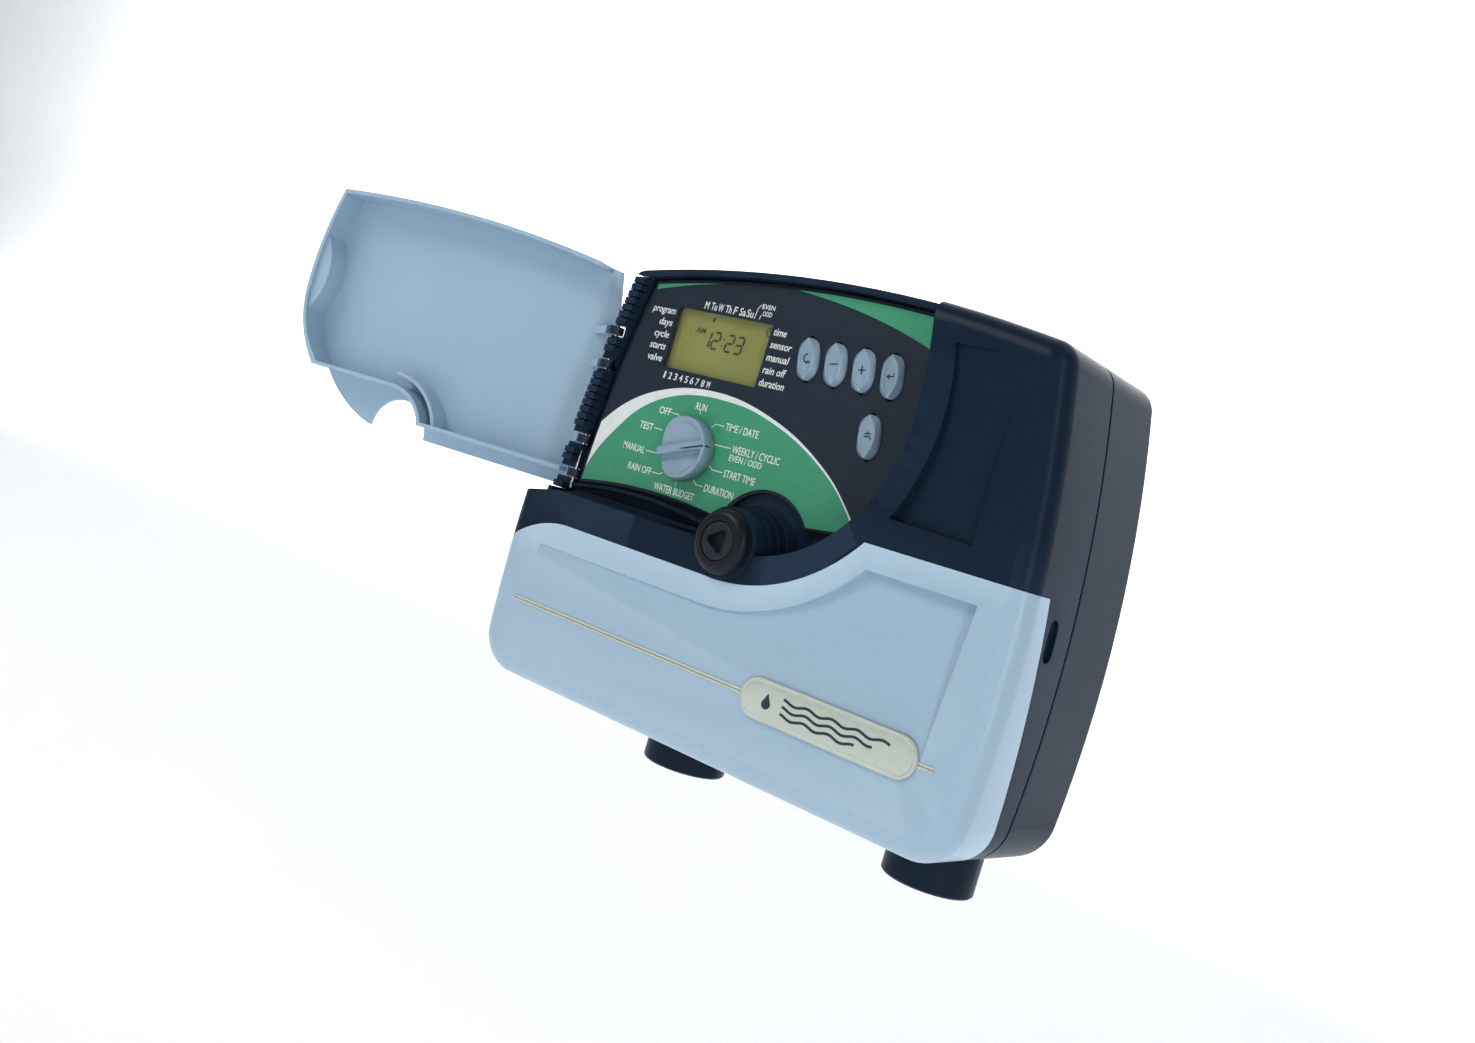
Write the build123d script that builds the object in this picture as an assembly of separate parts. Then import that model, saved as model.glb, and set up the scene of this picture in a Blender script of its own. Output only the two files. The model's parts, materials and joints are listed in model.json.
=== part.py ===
"""Wall-mounted irrigation controller: hinged lid, recessed control panel, terminal cover.

Units are millimetres. X runs to the right, Z runs up and the front faces -Y. The origin is the
middle of the wall face. A "depth" (d) is a distance in front of the wall, so y = -d.
"""
import os
from math import cos, radians, sin

from build123d import *

# ---------------------------------------------------------------- case outline
SIDE_HALF_W = 111.5     # half width part-way down the sides
TOP_HALF_W = SIDE_HALF_W - 11.5    # half width at the top corners
SIDE_Z = 5.0
FOOT_HALF_W = SIDE_HALF_W - 1.5    # half width at the foot
TOP_CORNER_Z = 79.0
TOP_Z = 88.0            # crown of the arched top
FOOT_Z = -88.0
TOP_R = 9.5
FOOT_R = 17.0
DEPTH = 75.0            # wall to the front faces
WALL = 2.5
FRONT_R = 8.0           # roundness of the front edge
BACK_R = 5.0
BACK_WALL = 2.8
REAR_DEPTH = 38.6       # depth of the rear half
SEAM_DEPTH = 40.0       # the front half starts here
SEAL_INSET = 0.6
GAP = 0.3               # visible seam between separate mouldings

# ---------------------------------------------------------------- control recess
FLOOR = 54.5            # recess floor in the front half
PANEL_T = 2.5           # control panel thickness
FLOOR_T = 2.5
RIM_TOP = 60.0          # low wall round the recess
RECESS_LIP = 2.4        # its thickness along the top
RECESS_SIDE = 2.0       # and along the right and the sill
PANEL_BITE_R = 21.0     # bite in the panel round the lock
PANEL_FACE = FLOOR + PANEL_T
WINDOW_W = 129.0        # opening behind the control panel
WINDOW_H = 72.0
WINDOW_X = -20.0
WINDOW_Z = 39.0

# ---------------------------------------------------------------- display and keys
LCD_W = 48.0
LCD_H = 25.0
LCD_X = -49.9
LCD_Z = 56.8
LCD_GLASS_T = 2.8
LCD_FRAME_W = 2.0
LCD_MARGIN = 2.5
KEY_W = 9.0
KEY_H = 16.0
KEY_TILT = 11.0         # the long axis leans left
KEY_ROW_X = -6.1
KEY_ROW_Z = 59.2
KEY_PITCH = 12.3
KEY_LOW_X = 28.7
KEY_LOW_Z = 37.3
KEY_PROUD = 2.5
KEY_TRAVEL = 1.2
KEY_CLEAR = 0.6
KEY_FLANGE = 0.9
KEY_FLANGE_T = 1.5
KEY_DISH = 0.7

# ---------------------------------------------------------------- selector
KNOB_X = -48.3
KNOB_Z = 16.1
KNOB_R = 12.5
KNOB_H = 5.8
KNOB_LIFT = 0.4         # air gap over the panel
KNOB_GRIP = 4.4         # thickness of the finger bar
KNOB_RIM = 1.6
KNOB_FLOOR = 3.0        # height of the hollows beside the finger bar
POINTER_ANGLE = 18.0
SPINDLE_R = 2.0
SHAFT_CLEAR = 0.05
SWITCH_SIZE = 18.0
SWITCH_H = 6.0

# ---------------------------------------------------------------- boards
PCB_T = 1.6
PCB_FRONT = 46.0
PCB_W = 128.0
PCB_H = 72.0
PCB_X = -21.0
PCB_Z = 37.0
PCB_SCREW_INSET = 3.8
SCREW_R = 1.25
SCREW_HEAD_R = 2.4
SCREW_HEAD_H = 1.8
BOSS_R = 2.6

# ---------------------------------------------------------------- lock and middle bridge
LOCK_X = -4.2
LOCK_Z = -12.1
LOCK_PAD_R = 13.0
LOCK_BEZEL_R = 11.6
LOCK_ROTOR_R = 6.8
LOCK_TUBE_R = 5.0
LOCK_KEYWAY_R = 6.0       # corner radius of the three-sided keyway
LOCK_GROOVE = 0.4
LOCK_PAD_T = 2.0
LOCK_BEZEL_T = 5.0
TOWER_R = 16.0
BRIDGE_LEFT = -48.7
BRIDGE_RIGHT = 44.0
BRIDGE_LEAN = 3.7       # the right seam leans over by this much
BRIDGE_BACK = FLOOR

# ---------------------------------------------------------------- lid
HINGE_X = 7.2 - SIDE_HALF_W
HINGE_D = 56.0
LID_OPEN = 163.0        # shown open by this angle
LID_T = 2.0
LID_GAP = 0.6
LID_RIM_T = 1.8
LID_RIM_FOOT = 60.6
LID_RIM_Z = -6.4
LID_SKIRT_Z = -12.2
LID_HINGE_CLEAR = 5.0   # the rim stops this far from the hinge edge
NOTCH_R = 14.5
NOTCH_RIM_R = 18.5
NOTCH_WALL_R = 26.0
PIN_R = 1.0
EYE_R = 3.0
ARM_T = 3.2
ARM_SLOT = 4.4
ARM_REACH = 19.4
ARM_Z = (54.4, 40.4, 8.8, -5.6)
PIN_LOW = ARM_Z[-1] - 6.0
PIN_HIGH = ARM_Z[0] + 6.0
SPINE_W = 8.6
SPINE_BACK = 50.0
SPINE_FACE = 61.0
SPINE_LOW = -12.8
SPINE_HIGH = 77.6
RIB_PITCH = 2.9
RIB_T = 2.4

# ---------------------------------------------------------------- terminal cover
COVER_REAR_TOP = 61.0   # depth of the cover's rear edge at its top
COVER_REAR_FOOT = 47.0  # and at its foot
COVER_WALL = 2.5
COVER_LEFT_Z = -25.3    # level part of the wavy top edge
COVER_PEAK_X = 50.4
COVER_PEAK_Z = 2.4
LIP_T = 1.6
LIP_H = 4.6
LIP_TOP_Z = -30.0
FINGER_Z = {1: -10.5, -1: -56.0}
STRIP_Z = -58.2
STRIP_W = 2.0
STRIP_T = 0.7
STRIP_LEFT = -98.0
STRIP_RIGHT = 98.0
BADGE_X = 56.4
BADGE_W = 71.8
BADGE_H = 14.4
BADGE_T = 2.2
BADGE_SINK = 0.8

# ---------------------------------------------------------------- wiring bay
CONDUIT_X = (80.0, -35.0)
CONDUIT_D = 21.0
CONDUIT_R = 16.5
CONDUIT_BORE_R = 12.6
CONDUIT_FOOT = -104.0
TERMINAL_PITCH = 5.08
TERMINALS = 12
TERMINAL_X = -20.0
TERMINAL_Z = -56.0
BAY_PCB_W = 92.0
BAY_PCB_H = 34.0
BAY_PCB_X = 8.0
BAY_PCB_Z = -49.0
BAY_PCB_D = 12.0
RIBBON_X = -12.0
RIBBON_W = 20.0
CASE_SCREWS = ((-90.5, 70.5), (90.5, 70.5), (22.0, 79.9), (-99.5, -78.5), (99.5, -78.5), (22.0, -82.0))
CASE_POST_R = 4.5
CASE_SCREW_R = 1.5
CASE_HEAD_R = 2.9
CASE_HEAD_DEPTH = 20.0
WALL_SLOT_X = 60.0
WALL_SLOT_Z = -76.0
KEYHOLE_Z = 62.0
WALL_SCREW_R = 2.4
KEYHOLE_HEAD_R = 4.75
KEYHOLE_RISE = 9.0
TRANSFORMER = (66.0, 98.0, -44.0, -8.0)    # left, right, foot and top of the core
CLAMP_X = (80.0, -35.0)                    # cable clamps


# ================================================================ helpers

def slab(sketch, d0, d1):
    """Prism of an X-Z outline between two depths."""
    return extrude(Plane.XZ.offset(d0) * sketch, amount=d1 - d0)


def block(x0, x1, d0, d1, z0, z1):
    return slab(Pos((x0 + x1) / 2, (z0 + z1) / 2) * Rectangle(x1 - x0, z1 - z0), d0, d1)


def rod(x, z, r, d0, d1):
    """Round bar whose axis runs front to back."""
    return slab(Pos(x, z) * Circle(r), d0, d1)


def post(x, d, r, z0, z1):
    """Round bar whose axis is upright."""
    return extrude(Plane.XY.offset(z0) * Pos(x, -d) * Circle(r), amount=z1 - z0)


def facing(*edges):
    return make_face(Curve() + list(edges))


def arc(a, b, c):
    return ThreePointArc(a, b, c)


def save(node, shape):
    solids = shape.solids()
    shape = solids[0] if len(solids) == 1 else Compound(children=list(solids))
    shape.label = node
    export_step(shape, f"parts/{node}.step")
    return shape


# ================================================================ shared outlines
def case_outline(inset=0.0):
    top, side, foot = TOP_HALF_W - inset, SIDE_HALF_W - inset, FOOT_HALF_W - inset
    high, low = TOP_CORNER_Z - inset, FOOT_Z + inset
    face = facing(
        arc((-top, high), (0, TOP_Z - inset), (top, high)),
        arc((top, high), (side, SIDE_Z), (foot, low)),
        Line((foot, low), (-foot, low)),
        arc((-foot, low), (-side, SIDE_Z), (-top, high)))
    face = fillet(face.vertices().group_by(Axis.Y)[-1], TOP_R - min(inset, TOP_R - 1))
    return fillet(face.vertices().group_by(Axis.Y)[0], FOOT_R - inset)


def side_x(z):
    """Half width of the case at a height on the arc of its side."""
    ax, az, bx, bz, cx, cz = TOP_HALF_W, TOP_CORNER_Z, SIDE_HALF_W, SIDE_Z, FOOT_HALF_W, FOOT_Z
    det = 2 * (ax * (bz - cz) + bx * (cz - az) + cx * (az - bz))
    a2, b2, c2 = ax**2 + az**2, bx**2 + bz**2, cx**2 + cz**2
    ox = (a2 * (bz - cz) + b2 * (cz - az) + c2 * (az - bz)) / det
    oz = (a2 * (cx - bx) + b2 * (ax - cx) + c2 * (bx - ax)) / det
    r = ((ax - ox)**2 + (az - oz)**2) ** 0.5
    return ox + (r**2 - (z - oz)**2) ** 0.5


def recess_outline(gap=0.0):
    """Opening of the control recess in the front; a gap makes it smaller."""
    far, sill = -130.0, -13.2 + gap
    return facing(
        Line((far, 100), (49.0 - gap, 100)),
        Line((49.0 - gap, 100), (49.0 - gap, 86)),
        arc((49.0 - gap, 86), (53.6 - gap, 64), (55.0 - gap, 42)),
        arc((55.0 - gap, 42), (52.0 - gap, 24), (42.7 - gap, 8 + gap)),
        arc((42.7 - gap, 8 + gap), (29.5 - gap, -4.6 + gap), (9.5, sill)),
        Line((9.5, sill), (-92.0, sill)),
        Line((-92.0, sill), (far, sill - 7.5)),
        Line((far, sill - 7.5), (far, 100)))


def cover_region(inset=0.0):
    """Everything below the wavy top edge of the terminal cover."""
    edge, peak_x, peak_z = COVER_LEFT_Z - inset, COVER_PEAK_X + 0.4 * inset, COVER_PEAK_Z - inset
    return facing(
        arc((-118, -46 - inset), (-101.5, -30.6 - inset), (-82, edge)),
        Line((-82, edge), (-10, edge)),
        arc((-10, edge), (20.5 + 0.4 * inset, -20.3 - inset), (peak_x, peak_z)),
        Line((peak_x, peak_z), (130, peak_z)),
        Line((130, peak_z), (130, -100)),
        Line((130, -100), (-118, -100)),
        Line((-118, -100), (-118, -46 - inset)))


def ahead_of(slope_gap=0.0):
    """Half space in front of the cover's sloping rear edge."""
    top, foot = COVER_REAR_TOP - slope_gap, COVER_REAR_FOOT - slope_gap
    edge = Polyline((-top, 3), (-foot, FOOT_Z), (-foot + 1, FOOT_Z - 12), (-140, FOOT_Z - 12),
                    (-140, 12), (-top, 12), close=True)
    return extrude(Plane.YZ * make_face(edge), amount=140, both=True)


def case_front(inset=0.0):
    """Solid front half of the case, with its rounded front edge."""
    solid = slab(case_outline(inset), SEAM_DEPTH, DEPTH - inset)
    rim = solid.faces().sort_by(Axis.Y)[0].edges()
    return fillet(rim, FRONT_R - inset)


def wedge(sketch, x, z, kx, kz):
    """Prism above a tilted floor: it meets the front face at (x, z) and deepens by kx and kz."""
    floor = Plane(origin=(x, -DEPTH, z), x_dir=(1, kx, 0), z_dir=(kx, -1, kz))
    return slab(sketch, DEPTH - 8, DEPTH + 4) & extrude(floor * Rectangle(500, 500), amount=12)


def block_pocket(grow=0.0):
    return facing(
        arc((61.5 - grow, 72 + grow), (65.3 - grow, 48), (56.6 - grow, 12 - grow)),
        Line((56.6 - grow, 12 - grow), (88 + grow, 11 - grow)),
        Line((88 + grow, 11 - grow), (88 + grow, 72 + grow)),
        Line((88 + grow, 72 + grow), (61.5 - grow, 72 + grow)))


def cover_pocket(grow=0.0):
    return facing(
        Line((-92 - grow, -35.2 + grow), (-9, -35.2 + grow)),
        arc((-9, -35.2 + grow), (21.5, -29.3 + grow), (54 - grow / 2, -6 + grow)),
        Line((54 - grow / 2, -6 + grow), (96 + grow, -6 + grow)),
        Line((96 + grow, -6 + grow), (92.5 + grow, -57)),
        Line((92.5 + grow, -57), (-92 - grow, -57)),
        Line((-92 - grow, -57), (-92 - grow, -35.2 + grow)))


def bridge_region(gap=0.0):
    """Middle length of the dark band, between its two seams."""
    return make_face(Polyline(
        (BRIDGE_LEFT + gap, -30), (BRIDGE_LEFT + gap, -13.2 + 0.01),
        (15.0, -11.0), (BRIDGE_RIGHT - BRIDGE_LEAN - gap, 9.5), (BRIDGE_RIGHT + BRIDGE_LEAN - gap, 1.0),
        (28.0, -22.0), (5.0, -30), close=True))


def lens(x, z, grow=0.0):
    """Pointed oval of a key, leaning left."""
    w, h = KEY_W / 2 + grow, KEY_H / 2 + 1.3 * grow
    face = facing(arc((0, -h), (w, 0), (0, h)), arc((0, h), (-w, 0), (0, -h)))
    return Pos(x, z) * Rot(0, 0, KEY_TILT) * fillet(face.vertices(), 1.0)


def key_places():
    row = [(KEY_ROW_X + i * KEY_PITCH, KEY_ROW_Z) for i in range(4)]
    return dict(zip(("cycle", "minus", "plus", "enter", "tap"), row + [(KEY_LOW_X, KEY_LOW_Z)]))


def arm_sweep():
    """Room for a lid arm, from shut to fully open, in the X-depth plane."""
    a0, a1 = radians(6), radians(247)
    tip = lambda a: (HINGE_X + ARM_REACH * cos(a), -(HINGE_D + ARM_REACH * sin(a)))
    hub = (HINGE_X, -HINGE_D)
    fan = facing(Line(hub, tip(a0)), arc(tip(a0), tip((a0 + a1) / 2), tip(a1)), Line(tip(a1), hub))
    return fan + Pos(*hub) * Circle(EYE_R + 1.9)


def arm_slots():
    slots = [extrude(Plane.XY.offset(z - ARM_SLOT / 2) * arm_sweep(), amount=ARM_SLOT) for z in ARM_Z]
    return Part() + slots


# ================================================================ case
def rear_housing():
    body = slab(case_outline(), 0, REAR_DEPTH)
    body = fillet(body.faces().sort_by(Axis.Y)[-1].edges(), BACK_R)
    body -= slab(case_outline(WALL), BACK_WALL, REAR_DEPTH + 1)
    for x in CONDUIT_X:
        tube = extrude(Plane.XY.offset(CONDUIT_FOOT) * Pos(x, -CONDUIT_D) * Circle(CONDUIT_R),
                       amount=FOOT_Z + WALL - CONDUIT_FOOT)
        tube = chamfer(tube.faces().sort_by(Axis.Z)[0].edges(), 0.8)
        body += tube
    for x, z in CASE_SCREWS:
        body += rod(x, z, CASE_POST_R, BACK_WALL / 2, REAR_DEPTH)
    for x, z in bay_posts():
        body += rod(x, z, BOSS_R, BACK_WALL / 2, BAY_PCB_D)
    body += transformer_feet()
    body += battery_feet()
    body += block(68, 92, BACK_WALL / 2, 10, -68, -56)
    for x in CLAMP_X:
        body += block(x - 13, x + 13, BACK_WALL / 2, 12, -80, -73)
    body &= slab(case_outline(), -1, REAR_DEPTH) + block(-130, 130, 0, REAR_DEPTH, -110, FOOT_Z + 5)
    for x in CONDUIT_X:
        body -= post(x, CONDUIT_D, CONDUIT_BORE_R, CONDUIT_FOOT - 1, FOOT_Z + WALL + 0.5)
    for x, z in CASE_SCREWS:
        body -= rod(x, z, CASE_HEAD_R + 0.4, -1, CASE_HEAD_DEPTH)
        body -= rod(x, z, CASE_SCREW_R, CASE_HEAD_DEPTH - 1, REAR_DEPTH + 1)
    for x, z in bay_posts():
        body -= rod(x, z, SCREW_R, BAY_PCB_D - 8, BAY_PCB_D + 1)
    for x, z in transformer_screws():
        body -= rod(x, z, SCREW_R, 3.5, 20)
    for x in CLAMP_X:
        for side in (-9.5, 9.5):
            body -= rod(x + side, -76.5, SCREW_R, 5, 13)
    for side in (-1, 1):
        body -= rod(side * WALL_SLOT_X, WALL_SLOT_Z, WALL_SCREW_R, -1, BACK_WALL + 1)
    slot = Pos(0, KEYHOLE_Z) * Circle(KEYHOLE_HEAD_R)
    slot += Pos(0, KEYHOLE_Z + KEYHOLE_RISE / 2) * Rectangle(2 * WALL_SCREW_R, KEYHOLE_RISE)
    slot += Pos(0, KEYHOLE_Z + KEYHOLE_RISE) * Circle(WALL_SCREW_R)
    return body - slab(slot, -1, BACK_WALL + 1)


def seam_seal():
    return slab(case_outline(SEAL_INSET) - case_outline(WALL), REAR_DEPTH, SEAM_DEPTH)


def front_housing():
    body = case_front()
    body -= slab(recess_outline(), RIM_TOP, DEPTH + 5)
    body -= slab(recess_outline(RECESS_SIDE) & case_outline(RECESS_LIP), FLOOR, DEPTH + 5)
    # the upper chamber keeps a wall round the recess, a floor under it and a pad at the hinge
    chamber = case_front(WALL) - slab(recess_outline(-WALL), FLOOR - FLOOR_T, DEPTH + 5)
    chamber -= slab(cover_region(-WALL - GAP), SEAM_DEPTH, DEPTH + 5)
    chamber -= block(-120, HINGE_X + 8, SEAM_DEPTH, FLOOR, ARM_Z[-1] - 5, ARM_Z[0] + 5)
    chamber -= slab(block_pocket(2.5), DEPTH - 5.5, DEPTH + 5)
    body -= chamber
    # the wiring bay is open at the front and takes the cover
    body -= slab(cover_region(-GAP), SEAM_DEPTH - 1, DEPTH + 5) & ahead_of(GAP)
    bay = slab(case_outline(WALL) & cover_region(1.0), SEAM_DEPTH - 1, DEPTH + 5)
    body -= bay
    body += cover_lip()
    for x, z in CASE_SCREWS:
        top = FLOOR - FLOOR_T / 2 if z > 0 and x < 49 else SEAM_DEPTH + 6.5
        if z > 0 and x > 49:
            top = DEPTH - WALL / 2
        body += rod(x, z, CASE_POST_R, SEAM_DEPTH, top) & case_front()
    # openings
    window = Pos(WINDOW_X, WINDOW_Z) * RectangleRounded(WINDOW_W, WINDOW_H, 4)
    window -= Pos(LOCK_X, LOCK_Z) * Circle(PANEL_BITE_R + 3)
    body -= slab(window, SEAM_DEPTH, FLOOR + 1)
    body -= wedge(block_pocket(), 88, 60, -0.07, -0.035)
    body += slab(band_face(), FLOOR - FLOOR_T, FLOOR)
    body -= slab(bridge_region(-GAP / 2), BRIDGE_BACK, DEPTH + 5) & bridge_zone()
    body -= rod(LOCK_X, LOCK_Z, LOCK_TUBE_R + 0.3, SEAM_DEPTH, FLOOR + 1)
    body -= rod(LOCK_X, LOCK_Z, TOWER_R + GAP, FLOOR, DEPTH + 1) & bridge_zone()
    body += groove_ridge()
    body -= arm_slots()
    body -= spine_seat()
    for x, z in CASE_SCREWS:
        body -= rod(x, z, CASE_SCREW_R, SEAM_DEPTH - 1, SEAM_DEPTH + 5.5)
    for x, z in panel_screw_places():
        body -= rod(x, z, SCREW_R, FLOOR - FLOOR_T - 1, FLOOR + 1)
    for side in (-1, 1):
        body -= finger_pocket(side)
    for x, z in bridge_screw_places():
        body -= rod(x, z, SCREW_R, SEAM_DEPTH, FLOOR + 1)
    return body


def band_face():
    """Floor of the dark band between the recess and the cover."""
    return bridge_region(-GAP) & (Rectangle(400, 400) - cover_region(-GAP))


def groove_ridge():
    """Thin upstand in the groove under the panel's lower edge."""
    low, high = -8.6, -7.2
    start, end, mid = -100.0, -27.0, -62.0
    ridge = facing(
        arc((start, low - 2.0), (mid, low + 1.6), (end, low - 1.4)),
        Line((end, low - 1.4), (end, high - 1.4)),
        arc((end, high - 1.4), (mid, high + 1.6), (start, high - 2.0)),
        Line((start, high - 2.0), (start, low - 2.0)))
    return slab(ridge, FLOOR - 0.5, RIM_TOP - 1.0)


def cover_lip():
    """Upstand inside the side and foot walls that guides the cover on."""
    fit = COVER_WALL + GAP
    guide = case_outline(fit) - case_outline(fit + LIP_T)
    root = case_outline(WALL - 0.5) - case_outline(fit + LIP_T)
    lip = slab(guide, SEAM_DEPTH, DEPTH) & (ahead_of(GAP) - ahead_of(-LIP_H))
    lip += slab(root, SEAM_DEPTH, DEPTH) & (ahead_of(5.0) - ahead_of(GAP))
    lip &= slab(cover_region(COVER_WALL + 1.5), 0, DEPTH)
    return lip - block(-130, 130, 0, 100, LIP_TOP_Z, 100)


def cover_rear(z):
    """Depth of the cover's rear edge at a height."""
    return COVER_REAR_TOP + (COVER_REAR_TOP - COVER_REAR_FOOT) * (z - 3) / (3 - FOOT_Z)


def finger_pocket(side):
    """Obround dimple behind the cover's rear edge, to get a nail under the cover."""
    z = FINGER_Z[side]
    x = side * side_x(z)
    pill = Pos(-(cover_rear(z) - 5.6), z) * SlotOverall(14, 6.4, rotation=90)
    return extrude(Plane.YZ.offset(x - side * 1.6) * pill, amount=side * 4)


def case_screws():
    screws = []
    for x, z in CASE_SCREWS:
        head = rod(x, z, CASE_HEAD_R, CASE_HEAD_DEPTH - 2.4, CASE_HEAD_DEPTH)
        head -= block(x - 0.4, x + 0.4, 0, CASE_HEAD_DEPTH - 1.4, z - 2, z + 2)
        head -= block(x - 2, x + 2, 0, CASE_HEAD_DEPTH - 1.4, z - 0.4, z + 0.4)
        screws.append(head + rod(x, z, CASE_SCREW_R, CASE_HEAD_DEPTH, SEAM_DEPTH + 5.5))
    return Compound(children=screws)


# ================================================================ hinge
def spine_outline(z):
    """Section of one hinge rib in the X-depth plane."""
    left = -side_x(z + RIB_T / 2) + 0.15
    right = left + SPINE_W - 0.6
    return left, right


def spine_seat():
    """Ledge in the front half that takes the ribbed hinge strip."""
    low, high = SPINE_LOW - GAP, SPINE_HIGH + GAP
    edge = facing(
        Line((-130, low), (-side_x(low) + SPINE_W, low)),
        arc((-side_x(low) + SPINE_W, low), (-side_x(33) + SPINE_W, 33), (-side_x(high) + SPINE_W, high)),
        Line((-side_x(high) + SPINE_W, high), (-130, high)),
        Line((-130, high), (-130, low)))
    return slab(edge, SPINE_BACK, DEPTH)


def rib(z):
    left, right = spine_outline(z)
    back, face = SPINE_BACK, SPINE_FACE
    section = facing(
        Line((left, -back), (left, -face + 5)),
        arc((left, -face + 5), (left + 1.3, -face + 1.4), (left + 4.5, -face)),
        Line((left + 4.5, -face), (right, -face)),
        Line((right, -face), (right, -back)),
        Line((right, -back), (left, -back)))
    return extrude(Plane.XY.offset(z) * section, amount=RIB_T)


def hinge_spine():
    """Comb of ribs down the left side; the lid's arms turn in its gaps."""
    low, high = SPINE_LOW, SPINE_HIGH
    inner, outer = SPINE_W - 0.5, 0.7
    core = facing(
        Line((-side_x(low) + outer, low), (-side_x(low) + inner, low)),
        arc((-side_x(low) + inner, low), (-side_x(33) + inner, 33), (-side_x(high) + inner, high)),
        Line((-side_x(high) + inner, high), (-side_x(high) + outer, high)),
        arc((-side_x(high) + outer, high), (-side_x(33) + outer, 33), (-side_x(low) + outer, low)))
    strip = slab(core, SPINE_BACK, SPINE_FACE - 3.5)
    count = int((high - low) / RIB_PITCH)
    places = [low + 0.3 + i * RIB_PITCH for i in range(count)]
    clear = [z for z in places if all(z + RIB_T < a - ARM_SLOT / 2 or z > a + ARM_SLOT / 2 for a in ARM_Z)]
    strip = strip + [rib(z) for z in clear]
    strip -= arm_slots()
    strip -= post(HINGE_X, HINGE_D, PIN_R, PIN_LOW, PIN_HIGH + 30)
    return strip




def hinge_pin():
    return post(HINGE_X, HINGE_D, PIN_R, PIN_LOW, PIN_HIGH)


# ================================================================ control panel
def panel_outline(inset=0.0):
    """Panel plate: bowed left edge, wavy lower edge with a bite round the lock."""
    left, low, bite = 3.6 + inset, -5.6 + inset, PANEL_BITE_R + inset
    left_low = (-side_x(0) + SPINE_W + left, low - 2.4)
    left_mid = (-side_x(40) + SPINE_W + left, 40)
    left_top = (-side_x(78) + SPINE_W + left, 81.2 - inset)
    angle0, angle1 = radians(161), radians(36)
    on_bite = lambda a: (LOCK_X + bite * cos(a), LOCK_Z + bite * sin(a))
    p0, p1 = on_bite(angle0), on_bite(angle1)
    plate = facing(
        arc(left_low, left_mid, left_top),
        arc(left_top, (-25, 85.2 - inset), (46.4 - inset, 83.4 - inset)),
        arc((46.4 - inset, 83.4 - inset), (52.4 - inset, 50), (45.5 - inset, 15)),
        Line((45.5 - inset, 15), (30.5 - inset, 1.6 + inset)),
        Line((30.5 - inset, 1.6 + inset), p1),
        arc(p1, on_bite(radians(90)), p0),
        arc(p0, (-62, low + 1.4), left_low))
    return plate & case_outline(RECESS_LIP + 0.8 + inset) & recess_outline(RECESS_SIDE + 0.6 + inset)


def panel_screw_places():
    return ((-88.6, 60.0), (-92.5, 3.0), (44.0, 78.4), (47.8, 50.0), (-20.0, 80.0), (-55.0, -0.6))


def pcb_screw_places():
    """Fixings of the main board: its corners, clear of the display, the keys and the panel's edge."""
    left, right = PCB_X - PCB_W / 2 + PCB_SCREW_INSET, PCB_X + PCB_W / 2 - PCB_SCREW_INSET
    low, high = PCB_Z - PCB_H / 2, PCB_Z + PCB_H / 2 - PCB_SCREW_INSET
    beside_lcd = LCD_X + LCD_W / 2 + LCD_MARGIN + LCD_FRAME_W + BOSS_R + 0.6
    return [(left, high), (right, high), (left, low + 6.0), (right - 4.0, low + 12.0), (beside_lcd, high)]


def control_panel():
    plate = slab(panel_outline(), FLOOR, PANEL_FACE)
    for x, z in pcb_screw_places():
        plate += rod(x, z, BOSS_R, PCB_FRONT, FLOOR + 1)
    for x, z in panel_screw_places():
        plate -= rod(x, z, SCREW_R, FLOOR - 1, FLOOR + 1.6)
    for x, z in pcb_screw_places():
        plate -= rod(x, z, SCREW_R, PCB_FRONT - 1, PCB_FRONT + 6)
    plate -= slab(lcd_rectangle(), FLOOR - 1, PANEL_FACE + 1)
    for x, z in key_places().values():
        plate -= slab(lens(x, z, KEY_CLEAR), FLOOR - 1, PANEL_FACE + 1)
    return plate - rod(KNOB_X, KNOB_Z, SPINDLE_R + 0.6, FLOOR - 1, PANEL_FACE + 1)


def panel_overlay():
    """Printed film over the control panel."""
    film = slab(panel_outline(1.2), PANEL_FACE, PANEL_FACE + 0.25)
    film -= slab(lcd_rectangle(-0.5), PANEL_FACE - 1, PANEL_FACE + 1)
    for x, z in key_places().values():
        film -= slab(lens(x, z, KEY_CLEAR + 0.2), PANEL_FACE - 1, PANEL_FACE + 1)
    return film - rod(KNOB_X, KNOB_Z, SPINDLE_R + 0.8, PANEL_FACE - 1, PANEL_FACE + 1)


def lcd_rectangle(margin=0.0):
    return Pos(LCD_X, LCD_Z) * Rectangle(LCD_W + 2 * margin, LCD_H + 2 * margin)


def lcd_window():
    return slab(lcd_rectangle(), PANEL_FACE - 1.6, PANEL_FACE)


def lcd_glass():
    return slab(lcd_rectangle(LCD_MARGIN), FLOOR - LCD_GLASS_T, FLOOR)


def lcd_frame():
    frame = slab(lcd_rectangle(LCD_MARGIN + LCD_FRAME_W), PCB_FRONT, FLOOR)
    frame -= slab(lcd_rectangle(LCD_MARGIN), FLOOR - LCD_GLASS_T, FLOOR + 1)
    return frame - slab(lcd_rectangle(-2), PCB_FRONT - 1, FLOOR)


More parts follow.
